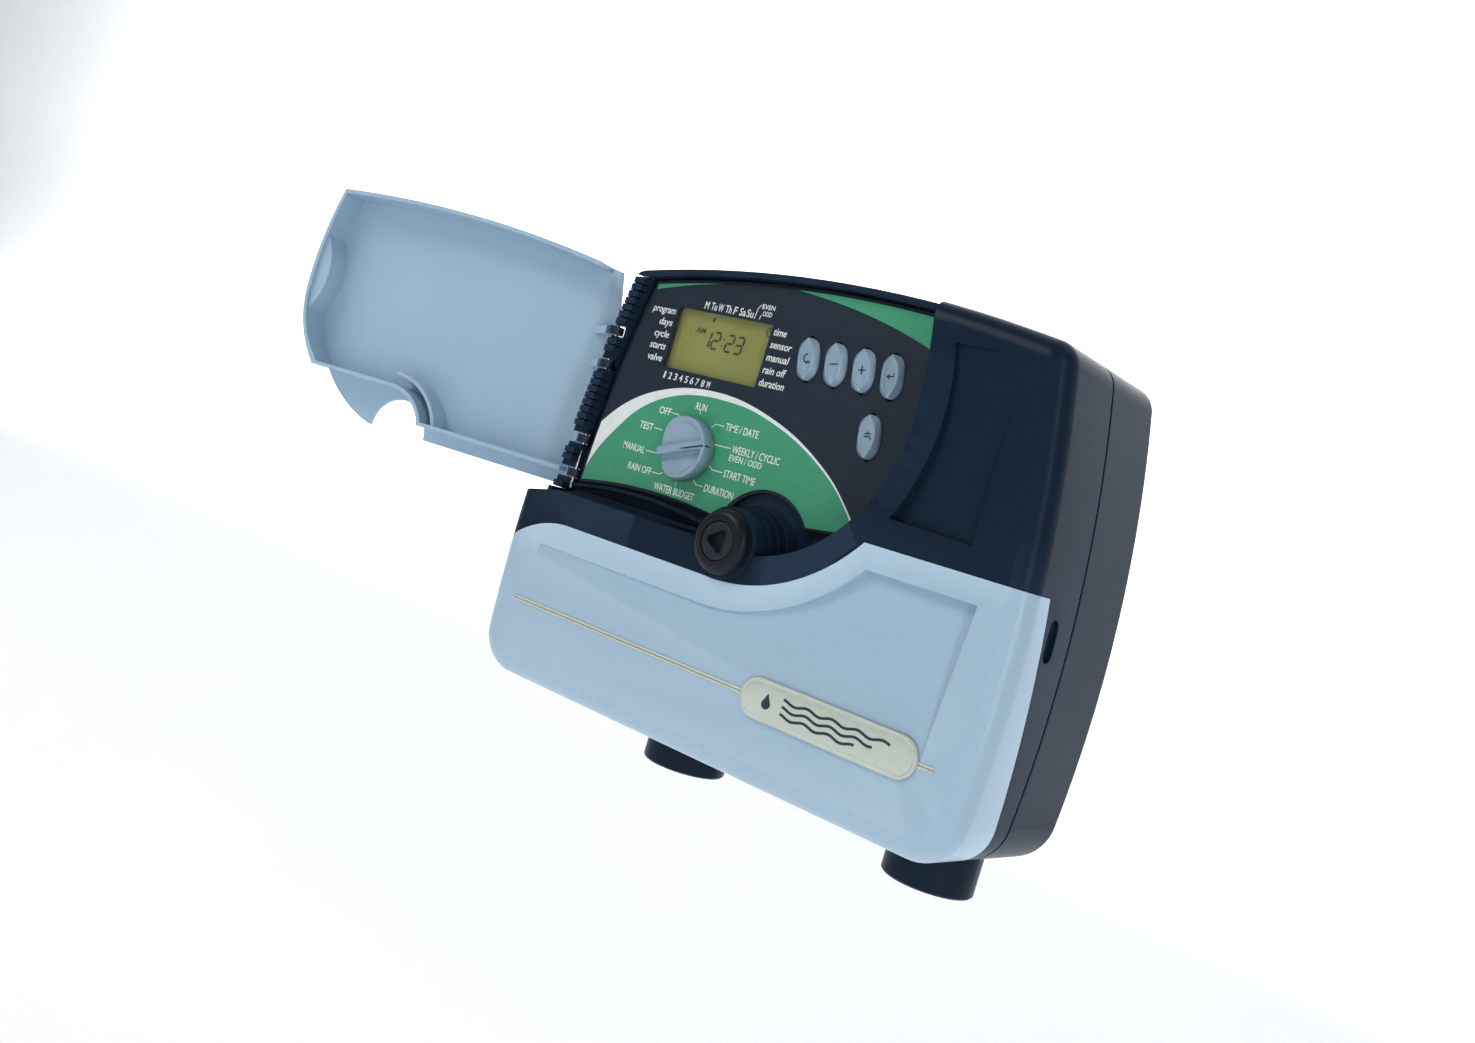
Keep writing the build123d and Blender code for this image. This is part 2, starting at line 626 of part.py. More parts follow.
def key(name):
    """Lens-shaped key with a dished face and a flange that holds it behind the panel."""
    x, z = key_places()[name]
    face = PANEL_FACE + KEY_PROUD
    body = slab(lens(x, z), FLOOR - 1, face)
    body += slab(lens(x, z, KEY_CLEAR + KEY_FLANGE), FLOOR - KEY_FLANGE_T, FLOOR)
    body = chamfer(body.faces().sort_by(Axis.Y)[0].edges(), 0.35)
    ball = (KEY_H * 0.42) ** 2 / (2 * KEY_DISH)
    return body - Pos(x, -(face + ball - KEY_DISH), z) * Sphere(ball)


def keypad_mat():
    """Silicone sheet with one dome behind each key."""
    top = KEY_ROW_Z + 12.0
    sheet = block(KEY_ROW_X - 8.3, 44.0 - 4.0, PCB_FRONT, PCB_FRONT + 1.2, KEY_LOW_Z - 11, top - 5.5)
    for x, z in key_places().values():
        sheet += slab(lens(x, z, -0.6), PCB_FRONT, FLOOR - KEY_FLANGE_T - KEY_TRAVEL - 0.2)
    for x, z in pcb_screw_places():
        sheet -= rod(x, z, BOSS_R + 0.5, PCB_FRONT - 1, PCB_FRONT + 3)
    return sheet


def knob():
    """Round selector with a diametral finger bar and two sloping hollows."""
    base, top = PANEL_FACE + 0.25 + KNOB_LIFT, PANEL_FACE + 0.25 + KNOB_LIFT + KNOB_H
    body = Cylinder(KNOB_R, KNOB_H, align=(Align.CENTER, Align.CENTER, Align.MIN))
    body = fillet(body.faces().sort_by(Axis.Z)[-1].edges(), 2.0)
    half = (Circle(KNOB_R - KNOB_RIM) & Pos(0, KNOB_R + KNOB_GRIP / 2) * Rectangle(60, 2 * KNOB_R))
    for turn in (0, 180):
        floor = Plane(origin=(0, KNOB_GRIP / 2, KNOB_FLOOR), x_dir=(1, 0, 0), z_dir=(0, -0.3, 1))
        hollow = extrude(half, amount=KNOB_H + 2) & extrude(floor * Rectangle(80, 80), amount=30)
        body -= Rot(0, 0, turn) * hollow
    body -= Pos(KNOB_R - 2.5, 0, KNOB_H) * Box(7, 0.7, 1.2)
    body -= Cylinder(SPINDLE_R, KNOB_FLOOR, align=(Align.CENTER, Align.CENTER, Align.MIN))
    body -= Pos(0, 0, 0) * (Cylinder(KNOB_R - 3, 1.6, align=(Align.CENTER, Align.CENTER, Align.MIN)))
    turned = Rot(0, 0, POINTER_ANGLE) * body
    return Pos(KNOB_X, -base, KNOB_Z) * Rot(90, 0, 0) * turned


def knob_spindle():
    end = PANEL_FACE + 0.25 + KNOB_LIFT + KNOB_FLOOR
    return rod(KNOB_X, KNOB_Z, SPINDLE_R, PCB_FRONT + 1.0, end)


def rotary_switch():
    half = SWITCH_SIZE / 2
    body = block(KNOB_X - half, KNOB_X + half, PCB_FRONT, PCB_FRONT + SWITCH_H, KNOB_Z - half, KNOB_Z + half)
    body = chamfer(body.edges().filter_by(Axis.Y), 2.0)
    body += rod(KNOB_X, KNOB_Z, SPINDLE_R + 1.4, PCB_FRONT + 1, PCB_FRONT + SWITCH_H + 1.6)
    return body - rod(KNOB_X, KNOB_Z, SPINDLE_R + SHAFT_CLEAR, PCB_FRONT + 1.0, PCB_FRONT + 20)


def screw(x, z, d_head, d_tip, facing_front=False):
    """Small pan-head screw between two depths; the head is on the wall side unless told."""
    step = SCREW_HEAD_H if facing_front else -SCREW_HEAD_H
    lo, hi = sorted((d_head, d_head + step))
    slot_lo, slot_hi = (hi - 0.8, hi + 1) if facing_front else (lo - 1, lo + 0.8)
    head = rod(x, z, SCREW_HEAD_R, lo, hi) - block(x - 2, x + 2, slot_lo, slot_hi, z - 0.35, z + 0.35)
    return head + rod(x, z, SCREW_R, min(d_head, d_tip), max(d_head, d_tip))


def panel_screws():
    return Compound(children=[screw(x, z, FLOOR - FLOOR_T, FLOOR + 1.5) for x, z in panel_screw_places()])


# ================================================================ boards
def main_board():
    board = block(PCB_X - PCB_W / 2, PCB_X + PCB_W / 2, PCB_FRONT - PCB_T, PCB_FRONT,
                  PCB_Z - PCB_H / 2, PCB_Z + PCB_H / 2)
    for x, z in pcb_screw_places():
        board -= rod(x, z, SCREW_R, PCB_FRONT - PCB_T - 1, PCB_FRONT + 1)
    return board


def board_chips():
    """Processor, memory, crystal, supply capacitor and ribbon socket on the back of the board."""
    back = PCB_FRONT - PCB_T
    chips = [
        block(-36, -22, back - 1.4, back, 36, 50),
        block(-10, -4, back - 1.2, back, 40, 48),
        block(-50, -42, back - 3.5, back, 38, 41.5),
        rod(16, 20, 5.0, back - 9, back),
        block(RIBBON_X - RIBBON_W / 2 - 1.5, RIBBON_X + RIBBON_W / 2 + 1.5, back - 6.0, back, 6, 12),
    ]
    return Compound(children=chips)


def board_screws():
    back = PCB_FRONT - PCB_T
    return Compound(children=[screw(x, z, back, PCB_FRONT + 5) for x, z in pcb_screw_places()])


def bay_posts():
    w, h = BAY_PCB_W / 2 - 4, BAY_PCB_H / 2 - 4
    return [(BAY_PCB_X + sx * w, BAY_PCB_Z + sz * h) for sx in (-1, 1) for sz in (-1, 1)]


def terminal_board():
    board = block(BAY_PCB_X - BAY_PCB_W / 2, BAY_PCB_X + BAY_PCB_W / 2, BAY_PCB_D, BAY_PCB_D + PCB_T,
                  BAY_PCB_Z - BAY_PCB_H / 2, BAY_PCB_Z + BAY_PCB_H / 2)
    for x, z in bay_posts():
        board -= rod(x, z, SCREW_R, BAY_PCB_D - 1, BAY_PCB_D + PCB_T + 1)
    return board


def terminal_board_screws():
    return Compound(children=[screw(x, z, BAY_PCB_D + PCB_T, BAY_PCB_D - 6, True) for x, z in bay_posts()])


def terminal_places():
    return [TERMINAL_X + i * TERMINAL_PITCH for i in range(TERMINALS)]


def terminal_block():
    """Screw terminals for the valve wires: wire mouths below, screws in front."""
    base = BAY_PCB_D + PCB_T
    places = terminal_places()
    body = block(places[0] - 2.54, places[-1] + 2.54, base, base + 10, TERMINAL_Z - 4, TERMINAL_Z + 4.2)
    for x in places:
        body -= rod(x, TERMINAL_Z, 1.9, base + 3, base + 11)
        body -= extrude(Plane.XY.offset(TERMINAL_Z - 5) * Pos(x, -(base + 3.2)) * Rectangle(3.2, 3.2), amount=5)
    return body


def terminal_screws():
    base = BAY_PCB_D + PCB_T
    screws = []
    for x in terminal_places():
        pin = rod(x, TERMINAL_Z, 1.9, base + 6.2, base + 9.4)
        screws.append(pin - block(x - 1.5, x + 1.5, base + 8.7, base + 10, TERMINAL_Z - 0.3, TERMINAL_Z + 0.3))
    return Compound(children=screws)


def fuse_holder():
    base = BAY_PCB_D + PCB_T
    body = block(-34, -10, base, base + 2, -50, -44)
    for x in (-32, -14):
        body += block(x, x + 2, base, base + 6.4, -50, -44)
    return body - fuse_bar(2.6)


def fuse_bar(r):
    return extrude(Plane.YZ.offset(-33) * Pos(-(BAY_PCB_D + PCB_T + 5), -47) * Circle(r), amount=22)


def fuse():
    return fuse_bar(2.6)


def ribbon_cable():
    """Flat cable from the main board's socket down to the terminal board."""
    top, turn, low = PCB_FRONT - PCB_T - 6.0, 30.0, BAY_PCB_D + PCB_T + 6.0
    path = Polyline((-top, 9), (-turn, 9), (-turn, -36.5), (-low, -36.5))
    path = fillet(path.vertices(), 3.0)
    section = Plane(origin=(RIBBON_X, -top, 9), x_dir=(1, 0, 0), z_dir=(0, 1, 0)) * Rectangle(RIBBON_W, 0.9)
    return sweep(section, path=Plane.YZ.offset(RIBBON_X) * path)


def ribbon_plug():
    base = BAY_PCB_D + PCB_T
    half = RIBBON_W / 2 + 1.5
    return block(RIBBON_X - half, RIBBON_X + half, base, base + 6.0, -39, -34)


# ================================================================ supply


def transformer_screws():
    x0, x1, z0, z1 = TRANSFORMER
    return ((x0 - 4.0, (z0 + z1) / 2), (x1 + 4.0, (z0 + z1) / 2))


def transformer_feet():
    x0, x1, z0, z1 = TRANSFORMER
    return block(x0 - 7, x1 + 7, BACK_WALL / 2, 10, (z0 + z1) / 2 - 5, (z0 + z1) / 2 + 5)


def transformer_core():
    """Laminated core with two mounting ears."""
    x0, x1, z0, z1 = TRANSFORMER
    mid = (z0 + z1) / 2
    core = block(x0, x1, 10, 44, z0 + 6, z1 - 6)
    core = chamfer(core.edges().filter_by(Axis.Z), 1.0)
    core += block(x0 - 7, x1 + 7, 10, 12, mid - 5, mid + 5)
    for x, z in transformer_screws():
        core -= rod(x, z, SCREW_R, 9, 13)
    return core - block(x0 + 7, x1 - 7, 16, 38, z0, z1)


def transformer_coil():
    x0, x1, z0, z1 = TRANSFORMER
    coil = block(x0 + 7, x1 - 7, 16, 38, z0, z1)
    return chamfer(coil.edges().filter_by(Axis.Z), 1.0)


def transformer_fixings():
    return Compound(children=[screw(x, z, 12.0, 4.0, True) for x, z in transformer_screws()])


def mains_terminal():
    body = block(68, 92, 10, 24, -68, -56)
    for i in range(3):
        x = 72 + i * 8
        body -= rod(x, -62, 2.4, 15, 25)
        body -= extrude(Plane.XY.offset(-69) * Pos(x, -14.5) * Rectangle(4, 4), amount=6)
    return body


def mains_terminal_screws():
    pins = []
    for i in range(3):
        x = 72 + i * 8
        pins.append(rod(x, -62, 2.4, 17.5, 23) - block(x - 2, x + 2, 22.2, 24, -62.35, -61.65))
    return Compound(children=pins)


def battery_feet():
    return block(-100, -48, BACK_WALL / 2, 6, -64, -34)


def battery_holder():
    tray = block(-101, -47, 6, 19, -66, -33)
    return tray - block(-99, -49, 8, 20, -63.3, -35.7)


def battery():
    body = block(-99, -52.5, 8, 25, -63.0, -36.0)
    body = chamfer(body.edges().filter_by(Axis.X), 1.5)
    for z in (-43, -56):
        body += extrude(Plane.YZ.offset(-52.5) * Pos(-16.5, z) * Circle(3.2), amount=2.0)
    return body


def cable_clamps():
    clamps = []
    for x in CLAMP_X:
        bar = block(x - 13, x + 13, 12, 15, -80, -73)
        bar -= extrude(Plane.XY.offset(-81) * Pos(x, -11.2) * Circle(3.4), amount=10)
        for side in (-9.5, 9.5):
            bar -= rod(x + side, -76.5, SCREW_R, 11, 16)
        clamps.append(bar)
    return Compound(children=clamps)


def clamp_screws():
    places = [(x + side, -76.5) for x in CLAMP_X for side in (-9.5, 9.5)]
    return Compound(children=[screw(x, z, 15.0, 6.0, True) for x, z in places])


# ================================================================ lock
def lock_bridge():
    """Middle length of the band, with the pad and ribbed tower that carry the lock."""
    under_cover = Rectangle(400, 400) - cover_region(-0.1)
    outer = slab(bridge_region() & under_cover, BRIDGE_BACK, DEPTH) & slab(
        Rectangle(400, 400) - recess_outline(), 0, DEPTH + 1)
    inner = slab(offset(bridge_region() & (Rectangle(400, 400) - recess_outline()) & under_cover, amount=-2.2,
                        kind=Kind.INTERSECTION), BRIDGE_BACK - 1, DEPTH - WALL)
    body = outer - inner
    for i, r in enumerate((TOWER_R, TOWER_R - 0.9, TOWER_R - 1.8)):
        body += rod(LOCK_X, LOCK_Z, r, BRIDGE_BACK, BRIDGE_BACK + 5.6 + i * 4.0) & bridge_zone()
    body += rod(LOCK_X, LOCK_Z, LOCK_PAD_R, BRIDGE_BACK, DEPTH + 0.6) & bridge_zone()
    body -= rod(LOCK_X, LOCK_Z, LOCK_TUBE_R, BRIDGE_BACK - 1, DEPTH + 2)
    for x, z in bridge_screw_places():
        body += rod(x, z, BOSS_R, BRIDGE_BACK, DEPTH - 1)
        body -= rod(x, z, SCREW_R, BRIDGE_BACK - 1, BRIDGE_BACK + 7)
    return body


def bridge_zone():
    return slab(Rectangle(400, 400) - cover_region(-0.1), 0, 200)


def bridge_screw_places():
    return ((-38.0, -19.2), (24.0, -12.2))


def bridge_screws():
    return Compound(children=[screw(x, z, FLOOR - FLOOR_T, BRIDGE_BACK + 7) for x, z in bridge_screw_places()])


def lock_bezel():
    """Round-nosed ring on the pad."""
    z0 = DEPTH + 0.6
    ring = rod(LOCK_X, LOCK_Z, LOCK_BEZEL_R, z0, z0 + LOCK_BEZEL_T)
    ring = fillet(ring.faces().sort_by(Axis.Y)[0].edges(), 3.2)
    return ring - rod(LOCK_X, LOCK_Z, LOCK_ROTOR_R + LOCK_GROOVE, z0 + 1.5, z0 + 20) - rod(
        LOCK_X, LOCK_Z, LOCK_TUBE_R, z0 - 1, z0 + 3)


def lock_rotor():
    """Key barrel with a rounded three-sided recess; its tail goes down the tower."""
    z0 = DEPTH + 0.6 + 1.5 + SHAFT_CLEAR
    head = rod(LOCK_X, LOCK_Z, LOCK_ROTOR_R, z0, z0 + 3.2)
    tri = fillet(RegularPolygon(LOCK_KEYWAY_R, 3, rotation=180).vertices(), 1.5)
    head -= slab(Pos(LOCK_X, LOCK_Z) * tri, z0 + 0.8, z0 + 5)
    back = FLOOR - FLOOR_T - 0.2
    tail = rod(LOCK_X, LOCK_Z, LOCK_TUBE_R - SHAFT_CLEAR, back, z0)
    square = slab(Pos(LOCK_X, LOCK_Z) * Rectangle(5, 5), back - 4.0, back)
    return head + tail + square


def lock_cam():
    """Flat tongue on the tail's square that swings behind the recess floor."""
    d0 = FLOOR - FLOOR_T - 2.2
    tongue = Pos(LOCK_X, LOCK_Z) * Circle(5.6) + Pos(LOCK_X - 5.5, LOCK_Z) * RectangleRounded(11, 7, 2)
    return slab(tongue - Pos(LOCK_X, LOCK_Z) * Rectangle(5, 5), d0, d0 + 2.0)


def lock_clip():
    d0 = FLOOR - FLOOR_T - 3.4
    ring = Pos(LOCK_X, LOCK_Z) * (Circle(4.6) - Rectangle(5, 5))
    return slab(ring, d0, d0 + 1.2)


# ================================================================ lid
def lid_left(z, inset=0.0):
    """Left edge of the shut lid at a height."""
    return max(HINGE_X + 3.9, -side_x(z) + SPINE_W + 0.8) + inset


def lid_outline(inset=0.0):
    """Shut lid seen from the front; its lower edge has the bite round the lock."""
    left_top, left_mid, left_low = (lid_left(z, inset) for z in (80, 56, 30))
    gap = LID_GAP + inset
    notch = NOTCH_R + inset
    skirt = LID_SKIRT_Z + inset
    on_notch = lambda a: (LOCK_X + notch * cos(radians(a)), LOCK_Z + notch * sin(radians(a)))
    panel = facing(
        Line((left_low, skirt), (left_low, 30)),
        arc((left_low, 30), (left_mid, 56), (left_top, 80 - inset)),
        Line((left_top, 80 - inset), (left_top, 95)),
        Line((left_top, 95), (60, 95)),
        Line((60, 95), (60, skirt)),
        Line((60, skirt), (left_low, skirt)))
    panel &= recess_outline(gap)
    panel &= case_outline(0.3 + inset)
    bite = Pos(LOCK_X, LOCK_Z) * Circle(notch)
    bite += make_face(Polyline(on_notch(180), on_notch(90), on_notch(0), (LOCK_X + notch, -40),
                               (LOCK_X - notch, -40), close=True))
    return panel - bite


def lid_rim_outline(inset=0.0):
    """Inner rim: it keeps above the skirt and swings round the lock."""
    r = NOTCH_RIM_R + inset
    low = LID_RIM_Z + inset
    zone = make_face(Polyline((-130, low), (-130, 100), (70, 100), (70, 6.4 + inset), (LOCK_X, 6.4 + inset),
                              (LOCK_X, low), close=True))
    zone -= Pos(LOCK_X, LOCK_Z) * Circle(r)
    return zone & lid_outline(inset)


def lid():
    """Lid shell in its shut place."""
    skin = slab(lid_outline(), DEPTH - LID_T, DEPTH)
    rim = lid_rim_outline() - lid_rim_outline(LID_RIM_T)
    edge = [(lid_left(z) + LID_HINGE_CLEAR, z) for z in (30, 56, 80)]
    far = [(edge[-1][0] + 3, 100), (90, 100), (90, -40)]
    keep = make_face(Polyline((edge[0][0], -40), *edge, *far, close=True))
    body = skin + slab(rim & keep, LID_RIM_FOOT, DEPTH - LID_T)
    wall_ring = Pos(LOCK_X, LOCK_Z) * (Circle(NOTCH_WALL_R) - Circle(NOTCH_WALL_R - 1.6))
    quarter = make_face(Polyline((LOCK_X, LOCK_Z), (LOCK_X - 60, LOCK_Z + 8), (LOCK_X - 60, 60),
                                 (LOCK_X + 2, 60), close=True))
    body += slab(wall_ring & quarter & lid_rim_outline(0.5), LID_RIM_FOOT + 2, DEPTH - LID_T)
    # finger hollow on the free side
    body += slab(grip_zone(0) & lid_outline(0.2), LID_RIM_FOOT + 1.5, DEPTH - LID_T)
    body -= slab(grip_zone(1.6) & lid_outline(LID_RIM_T), LID_RIM_FOOT + 3.2, DEPTH + 1)
    # catch on the outside of the free rim
    body += catch_tab()
    for z in ARM_Z:
        body += arm(z)
    return body - post(HINGE_X, HINGE_D, PIN_R + SHAFT_CLEAR, -40, 90)


def grip_zone(inset):
    """Segment between the free edge and an arc that bows inward."""
    return facing(arc((60, 72 - inset * 2), (46.0 + inset, 47), (60, 22 + inset * 2)),
                  Line((60, 22 + inset * 2), (60, 72 - inset * 2)))


def catch_tab():
    """Friction nib that fills the gap to the recess wall."""
    edge = 55.0 - LID_GAP
    return block(edge - 1.5, edge + 0.4, LID_RIM_FOOT + 1, LID_RIM_FOOT + 5, 39, 47)


def arm(z):
    """Goose-neck arm from the lid to its pin."""
    x0, x1 = lid_left(z) + 0.2, lid_left(z) + 10
    top = DEPTH - LID_T + 0.2
    neck = make_face(Polyline(
        (HINGE_X - 0.5, -HINGE_D - 2.9), (x0, -67), (x0, -top), (x1, -top), (HINGE_X + 2.0, -HINGE_D + 2.2),
        close=True))
    plate = neck + Pos(HINGE_X, -HINGE_D) * Circle(EYE_R)
    return extrude(Plane.XY.offset(z - ARM_T / 2) * plate, amount=ARM_T)


def lid_opened():
    hinge = Axis((HINGE_X, -HINGE_D, 0), (0, 0, 1))
    return lid().rotate(hinge, -LID_OPEN)


# ================================================================ terminal cover
def terminal_cover():
    envelope = case_front() & slab(cover_region(), 0, DEPTH + 5) & ahead_of()
    hollow = case_front(COVER_WALL) & slab(cover_region(COVER_WALL), 0, DEPTH + 5)
    hollow -= slab(cover_pocket(2.0), DEPTH - 6.2, DEPTH + 5)
    hollow -= slab(Pos(BADGE_X, STRIP_Z) * SlotOverall(BADGE_W + 4, BADGE_H + 4), DEPTH - 4, DEPTH + 5)
    cover = envelope - hollow
    cover -= wedge(cover_pocket(), 60, -56, 0.0071, 0.065)
    cover -= strip_groove()
    cover -= slab(Pos(BADGE_X, STRIP_Z) * SlotOverall(BADGE_W, BADGE_H), DEPTH - BADGE_SINK, DEPTH + 5)
    for side in (-1, 1):
        z = FINGER_Z[side] - 2
        x0, x1 = sorted((side * (side_x(z) - COVER_WALL - 1.2), side * (side_x(z) - 1.0)))
        cover += block(x0, x1, cover_rear(z) + 5.5, DEPTH - 6, z - 5, z + 5)
    return cover


def strip_groove():
    width = STRIP_RIGHT - STRIP_LEFT
    bar = Pos((STRIP_LEFT + STRIP_RIGHT) / 2, STRIP_Z) * Rectangle(width, STRIP_W)
    return slab(bar, DEPTH - STRIP_T, DEPTH + 5)


def accent_strip():
    """Twin raised line across the cover, in two lengths either side of the badge."""
    body = strip_groove() & slab(Rectangle(400, 400), 0, DEPTH + 0.25)
    body -= block(-130, 130, DEPTH - 0.2, DEPTH + 2, STRIP_Z - 0.25, STRIP_Z + 0.25)
    return body - slab(Pos(BADGE_X, STRIP_Z) * SlotOverall(BADGE_W, BADGE_H), DEPTH - 5, DEPTH + 5)


def badge():
    """Blank oval plate with a raised, rounded face."""
    top = DEPTH - BADGE_SINK + BADGE_T
    plate = slab(Pos(BADGE_X, STRIP_Z) * SlotOverall(BADGE_W, BADGE_H), DEPTH - BADGE_SINK, top)
    return fillet(plate.faces().sort_by(Axis.Y)[0].edges(), 0.9)


# ================================================================ build
NODES = {
    "rear_housing": rear_housing, "seam_seal": seam_seal, "front_housing": front_housing,
    "case_screws": case_screws, "hinge_spine": hinge_spine, "hinge_pin": hinge_pin,
    "control_panel": control_panel, "panel_overlay": panel_overlay, "panel_screws": panel_screws,
    "lcd_window": lcd_window, "lcd_glass": lcd_glass, "lcd_frame": lcd_frame,
    "keypad_mat": keypad_mat, "selector_knob": knob, "selector_spindle": knob_spindle,
    "rotary_switch": rotary_switch, "main_board": main_board, "board_chips": board_chips,
    "board_screws": board_screws, "ribbon_cable": ribbon_cable, "ribbon_plug": ribbon_plug,
    "terminal_board": terminal_board, "terminal_board_screws": terminal_board_screws,
    "terminal_block": terminal_block, "terminal_screws": terminal_screws,
    "fuse_holder": fuse_holder, "fuse": fuse, "transformer_core": transformer_core,
    "transformer_coil": transformer_coil, "transformer_screws": transformer_fixings,
    "mains_terminal": mains_terminal, "mains_terminal_screws": mains_terminal_screws,
    "battery_holder": battery_holder, "battery": battery, "cable_clamps": cable_clamps,
    "clamp_screws": clamp_screws, "lock_bridge": lock_bridge, "bridge_screws": bridge_screws,
    "lock_bezel": lock_bezel, "lock_rotor": lock_rotor, "lock_cam": lock_cam,
    "lock_clip": lock_clip, "lid": lid_opened, "terminal_cover": terminal_cover,
    "accent_strip": accent_strip, "badge": badge,
}


def main():
    os.makedirs("parts", exist_ok=True)
    for node, make in NODES.items():
        save(node, make())
    for name in key_places():
        save(f"key_{name}", key(name))


main()
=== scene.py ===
import json
from math import cos, pi, radians, sin

import bmesh
import bpy
from mathutils import Matrix, Vector


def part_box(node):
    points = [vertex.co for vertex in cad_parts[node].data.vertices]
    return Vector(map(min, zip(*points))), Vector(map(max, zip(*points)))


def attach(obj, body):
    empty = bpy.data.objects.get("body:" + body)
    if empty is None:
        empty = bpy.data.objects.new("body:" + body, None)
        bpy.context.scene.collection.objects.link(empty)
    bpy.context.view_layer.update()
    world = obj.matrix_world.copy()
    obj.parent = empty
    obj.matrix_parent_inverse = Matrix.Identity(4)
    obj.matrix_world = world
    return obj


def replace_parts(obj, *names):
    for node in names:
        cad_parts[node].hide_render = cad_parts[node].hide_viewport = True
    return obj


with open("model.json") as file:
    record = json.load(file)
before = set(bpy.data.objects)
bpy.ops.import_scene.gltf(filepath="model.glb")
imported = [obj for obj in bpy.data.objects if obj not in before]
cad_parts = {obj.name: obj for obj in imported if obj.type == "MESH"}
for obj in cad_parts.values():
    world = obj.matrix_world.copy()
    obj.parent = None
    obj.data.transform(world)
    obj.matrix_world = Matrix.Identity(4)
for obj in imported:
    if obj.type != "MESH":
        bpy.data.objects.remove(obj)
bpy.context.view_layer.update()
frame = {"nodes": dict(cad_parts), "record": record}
NODES = frame["nodes"]
SLOTS = {s["node"]: s["material_slot"] for s in frame["record"]["subparts"]}
MM = 0.001

# ------------------------------------------------------------------ sizes, in millimetres
FILM_FACE = -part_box("panel_overlay")[0].y / MM       # front of the printed film
GLASS_FACE = -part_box("lcd_glass")[0].y / MM
INK = 0.035                                           # thickness of one printed layer
KNUCKLE_R = 7.1                                       # painted shade round the hinge pin out to here
KNUCKLE_FADE = 0.6
KNOB_LOW, KNOB_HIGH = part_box("selector_knob")
KNOB_X = (KNOB_LOW.x + KNOB_HIGH.x) / 2 / MM
KNOB_Z = (KNOB_LOW.z + KNOB_HIGH.z) / 2 / MM
KNOB_R = (KNOB_HIGH.x - KNOB_LOW.x) / 2 / MM

# colours, linear
PALE = (0.395, 0.545, 0.675)
PALE_DEEP = (0.24, 0.37, 0.54)
NAVY = (0.0085, 0.0190, 0.0380)
NAVY_DEEP = (0.0050, 0.0115, 0.0270)
BLACK = (0.0060, 0.0085, 0.0140)
GREEN = (0.060, 0.345, 0.190)
WHITE_INK = (0.86, 0.89, 0.88)
CREAM = (0.60, 0.65, 0.56)


# ------------------------------------------------------------------ materials
class Nodes:
    """Short names for building one material's node tree."""

    def __init__(self, name):
        self.material = bpy.data.materials.new(name)
        self.material.use_nodes = True
        self.tree = self.material.node_tree
        self.shader = self.tree.nodes["Principled BSDF"]
        self.place = self.add("ShaderNodeTexCoord").outputs["Object"]

    def add(self, kind, **values):
        node = self.tree.nodes.new(kind)
        for key, value in values.items():
            if key in node.inputs:
                node.inputs[key].default_value = value
            else:
                setattr(node, key, value)
        return node

    def link(self, a, b):
        self.tree.links.new(a, b)

    def noise(self, scale, detail=4.0, rough=0.55, stretch=None):
        node = self.add("ShaderNodeTexNoise", Scale=scale, Detail=detail, Roughness=rough)
        where = self.place
        if stretch:
            mapping = self.add("ShaderNodeMapping", Scale=stretch)
            self.link(where, mapping.inputs["Vector"])
            where = mapping.outputs["Vector"]
        self.link(where, node.inputs["Vector"])
        return node.outputs["Fac"]

    def ramp(self, fac, stops):
        node = self.add("ShaderNodeValToRGB")
        ramp = node.color_ramp
        while len(ramp.elements) < len(stops):
            ramp.elements.new(0.5)
        for element, (position, colour) in zip(ramp.elements, stops):
            element.position = position
            element.color = (*colour, 1.0) if len(colour) == 3 else colour
        self.link(fac, node.inputs["Fac"])
        return node.outputs["Color"]

    def spread(self, fac, low, high):
        node = self.add("ShaderNodeMapRange")
        node.inputs["To Min"].default_value = low
        node.inputs["To Max"].default_value = high
        self.link(fac, node.inputs["Value"])
        return node.outputs["Result"]

    def mix(self, fac, a, b, mode="MIX"):
        node = self.add("ShaderNodeMix", data_type="RGBA", blend_type=mode)
        for socket, value in ((node.inputs[0], fac), (node.inputs[6], a), (node.inputs[7], b)):
            if hasattr(value, "is_output"):
                self.link(value, socket)
            elif isinstance(value, tuple):
                socket.default_value = (*value, 1.0)
            else:
                socket.default_value = value
        return node.outputs[2]

    def edges(self):
        """Near 1 on sharp outward edges, where the painted highlight goes."""
        point = self.add("ShaderNodeNewGeometry").outputs["Pointiness"]
        node = self.add("ShaderNodeMapRange")
        node.inputs["From Min"].default_value = 0.52
        node.inputs["From Max"].default_value = 0.66
        self.link(point, node.inputs["Value"])
        return node.outputs["Result"]

    def bump(self, height, strength, distance, soften=0.0):
        node = self.add("ShaderNodeBump", Strength=strength, Distance=distance)
        self.link(height, node.inputs["Height"])
        if soften:
            bevel = self.add("ShaderNodeBevel", samples=4)
            bevel.inputs["Radius"].default_value = soften
            self.link(bevel.outputs["Normal"], node.inputs["Normal"])
        self.link(node.outputs["Normal"], self.shader.inputs["Normal"])

    def set(self, **values):
        for key, value in values.items():
            self.shader.inputs[key.replace("_", " ")].default_value = value


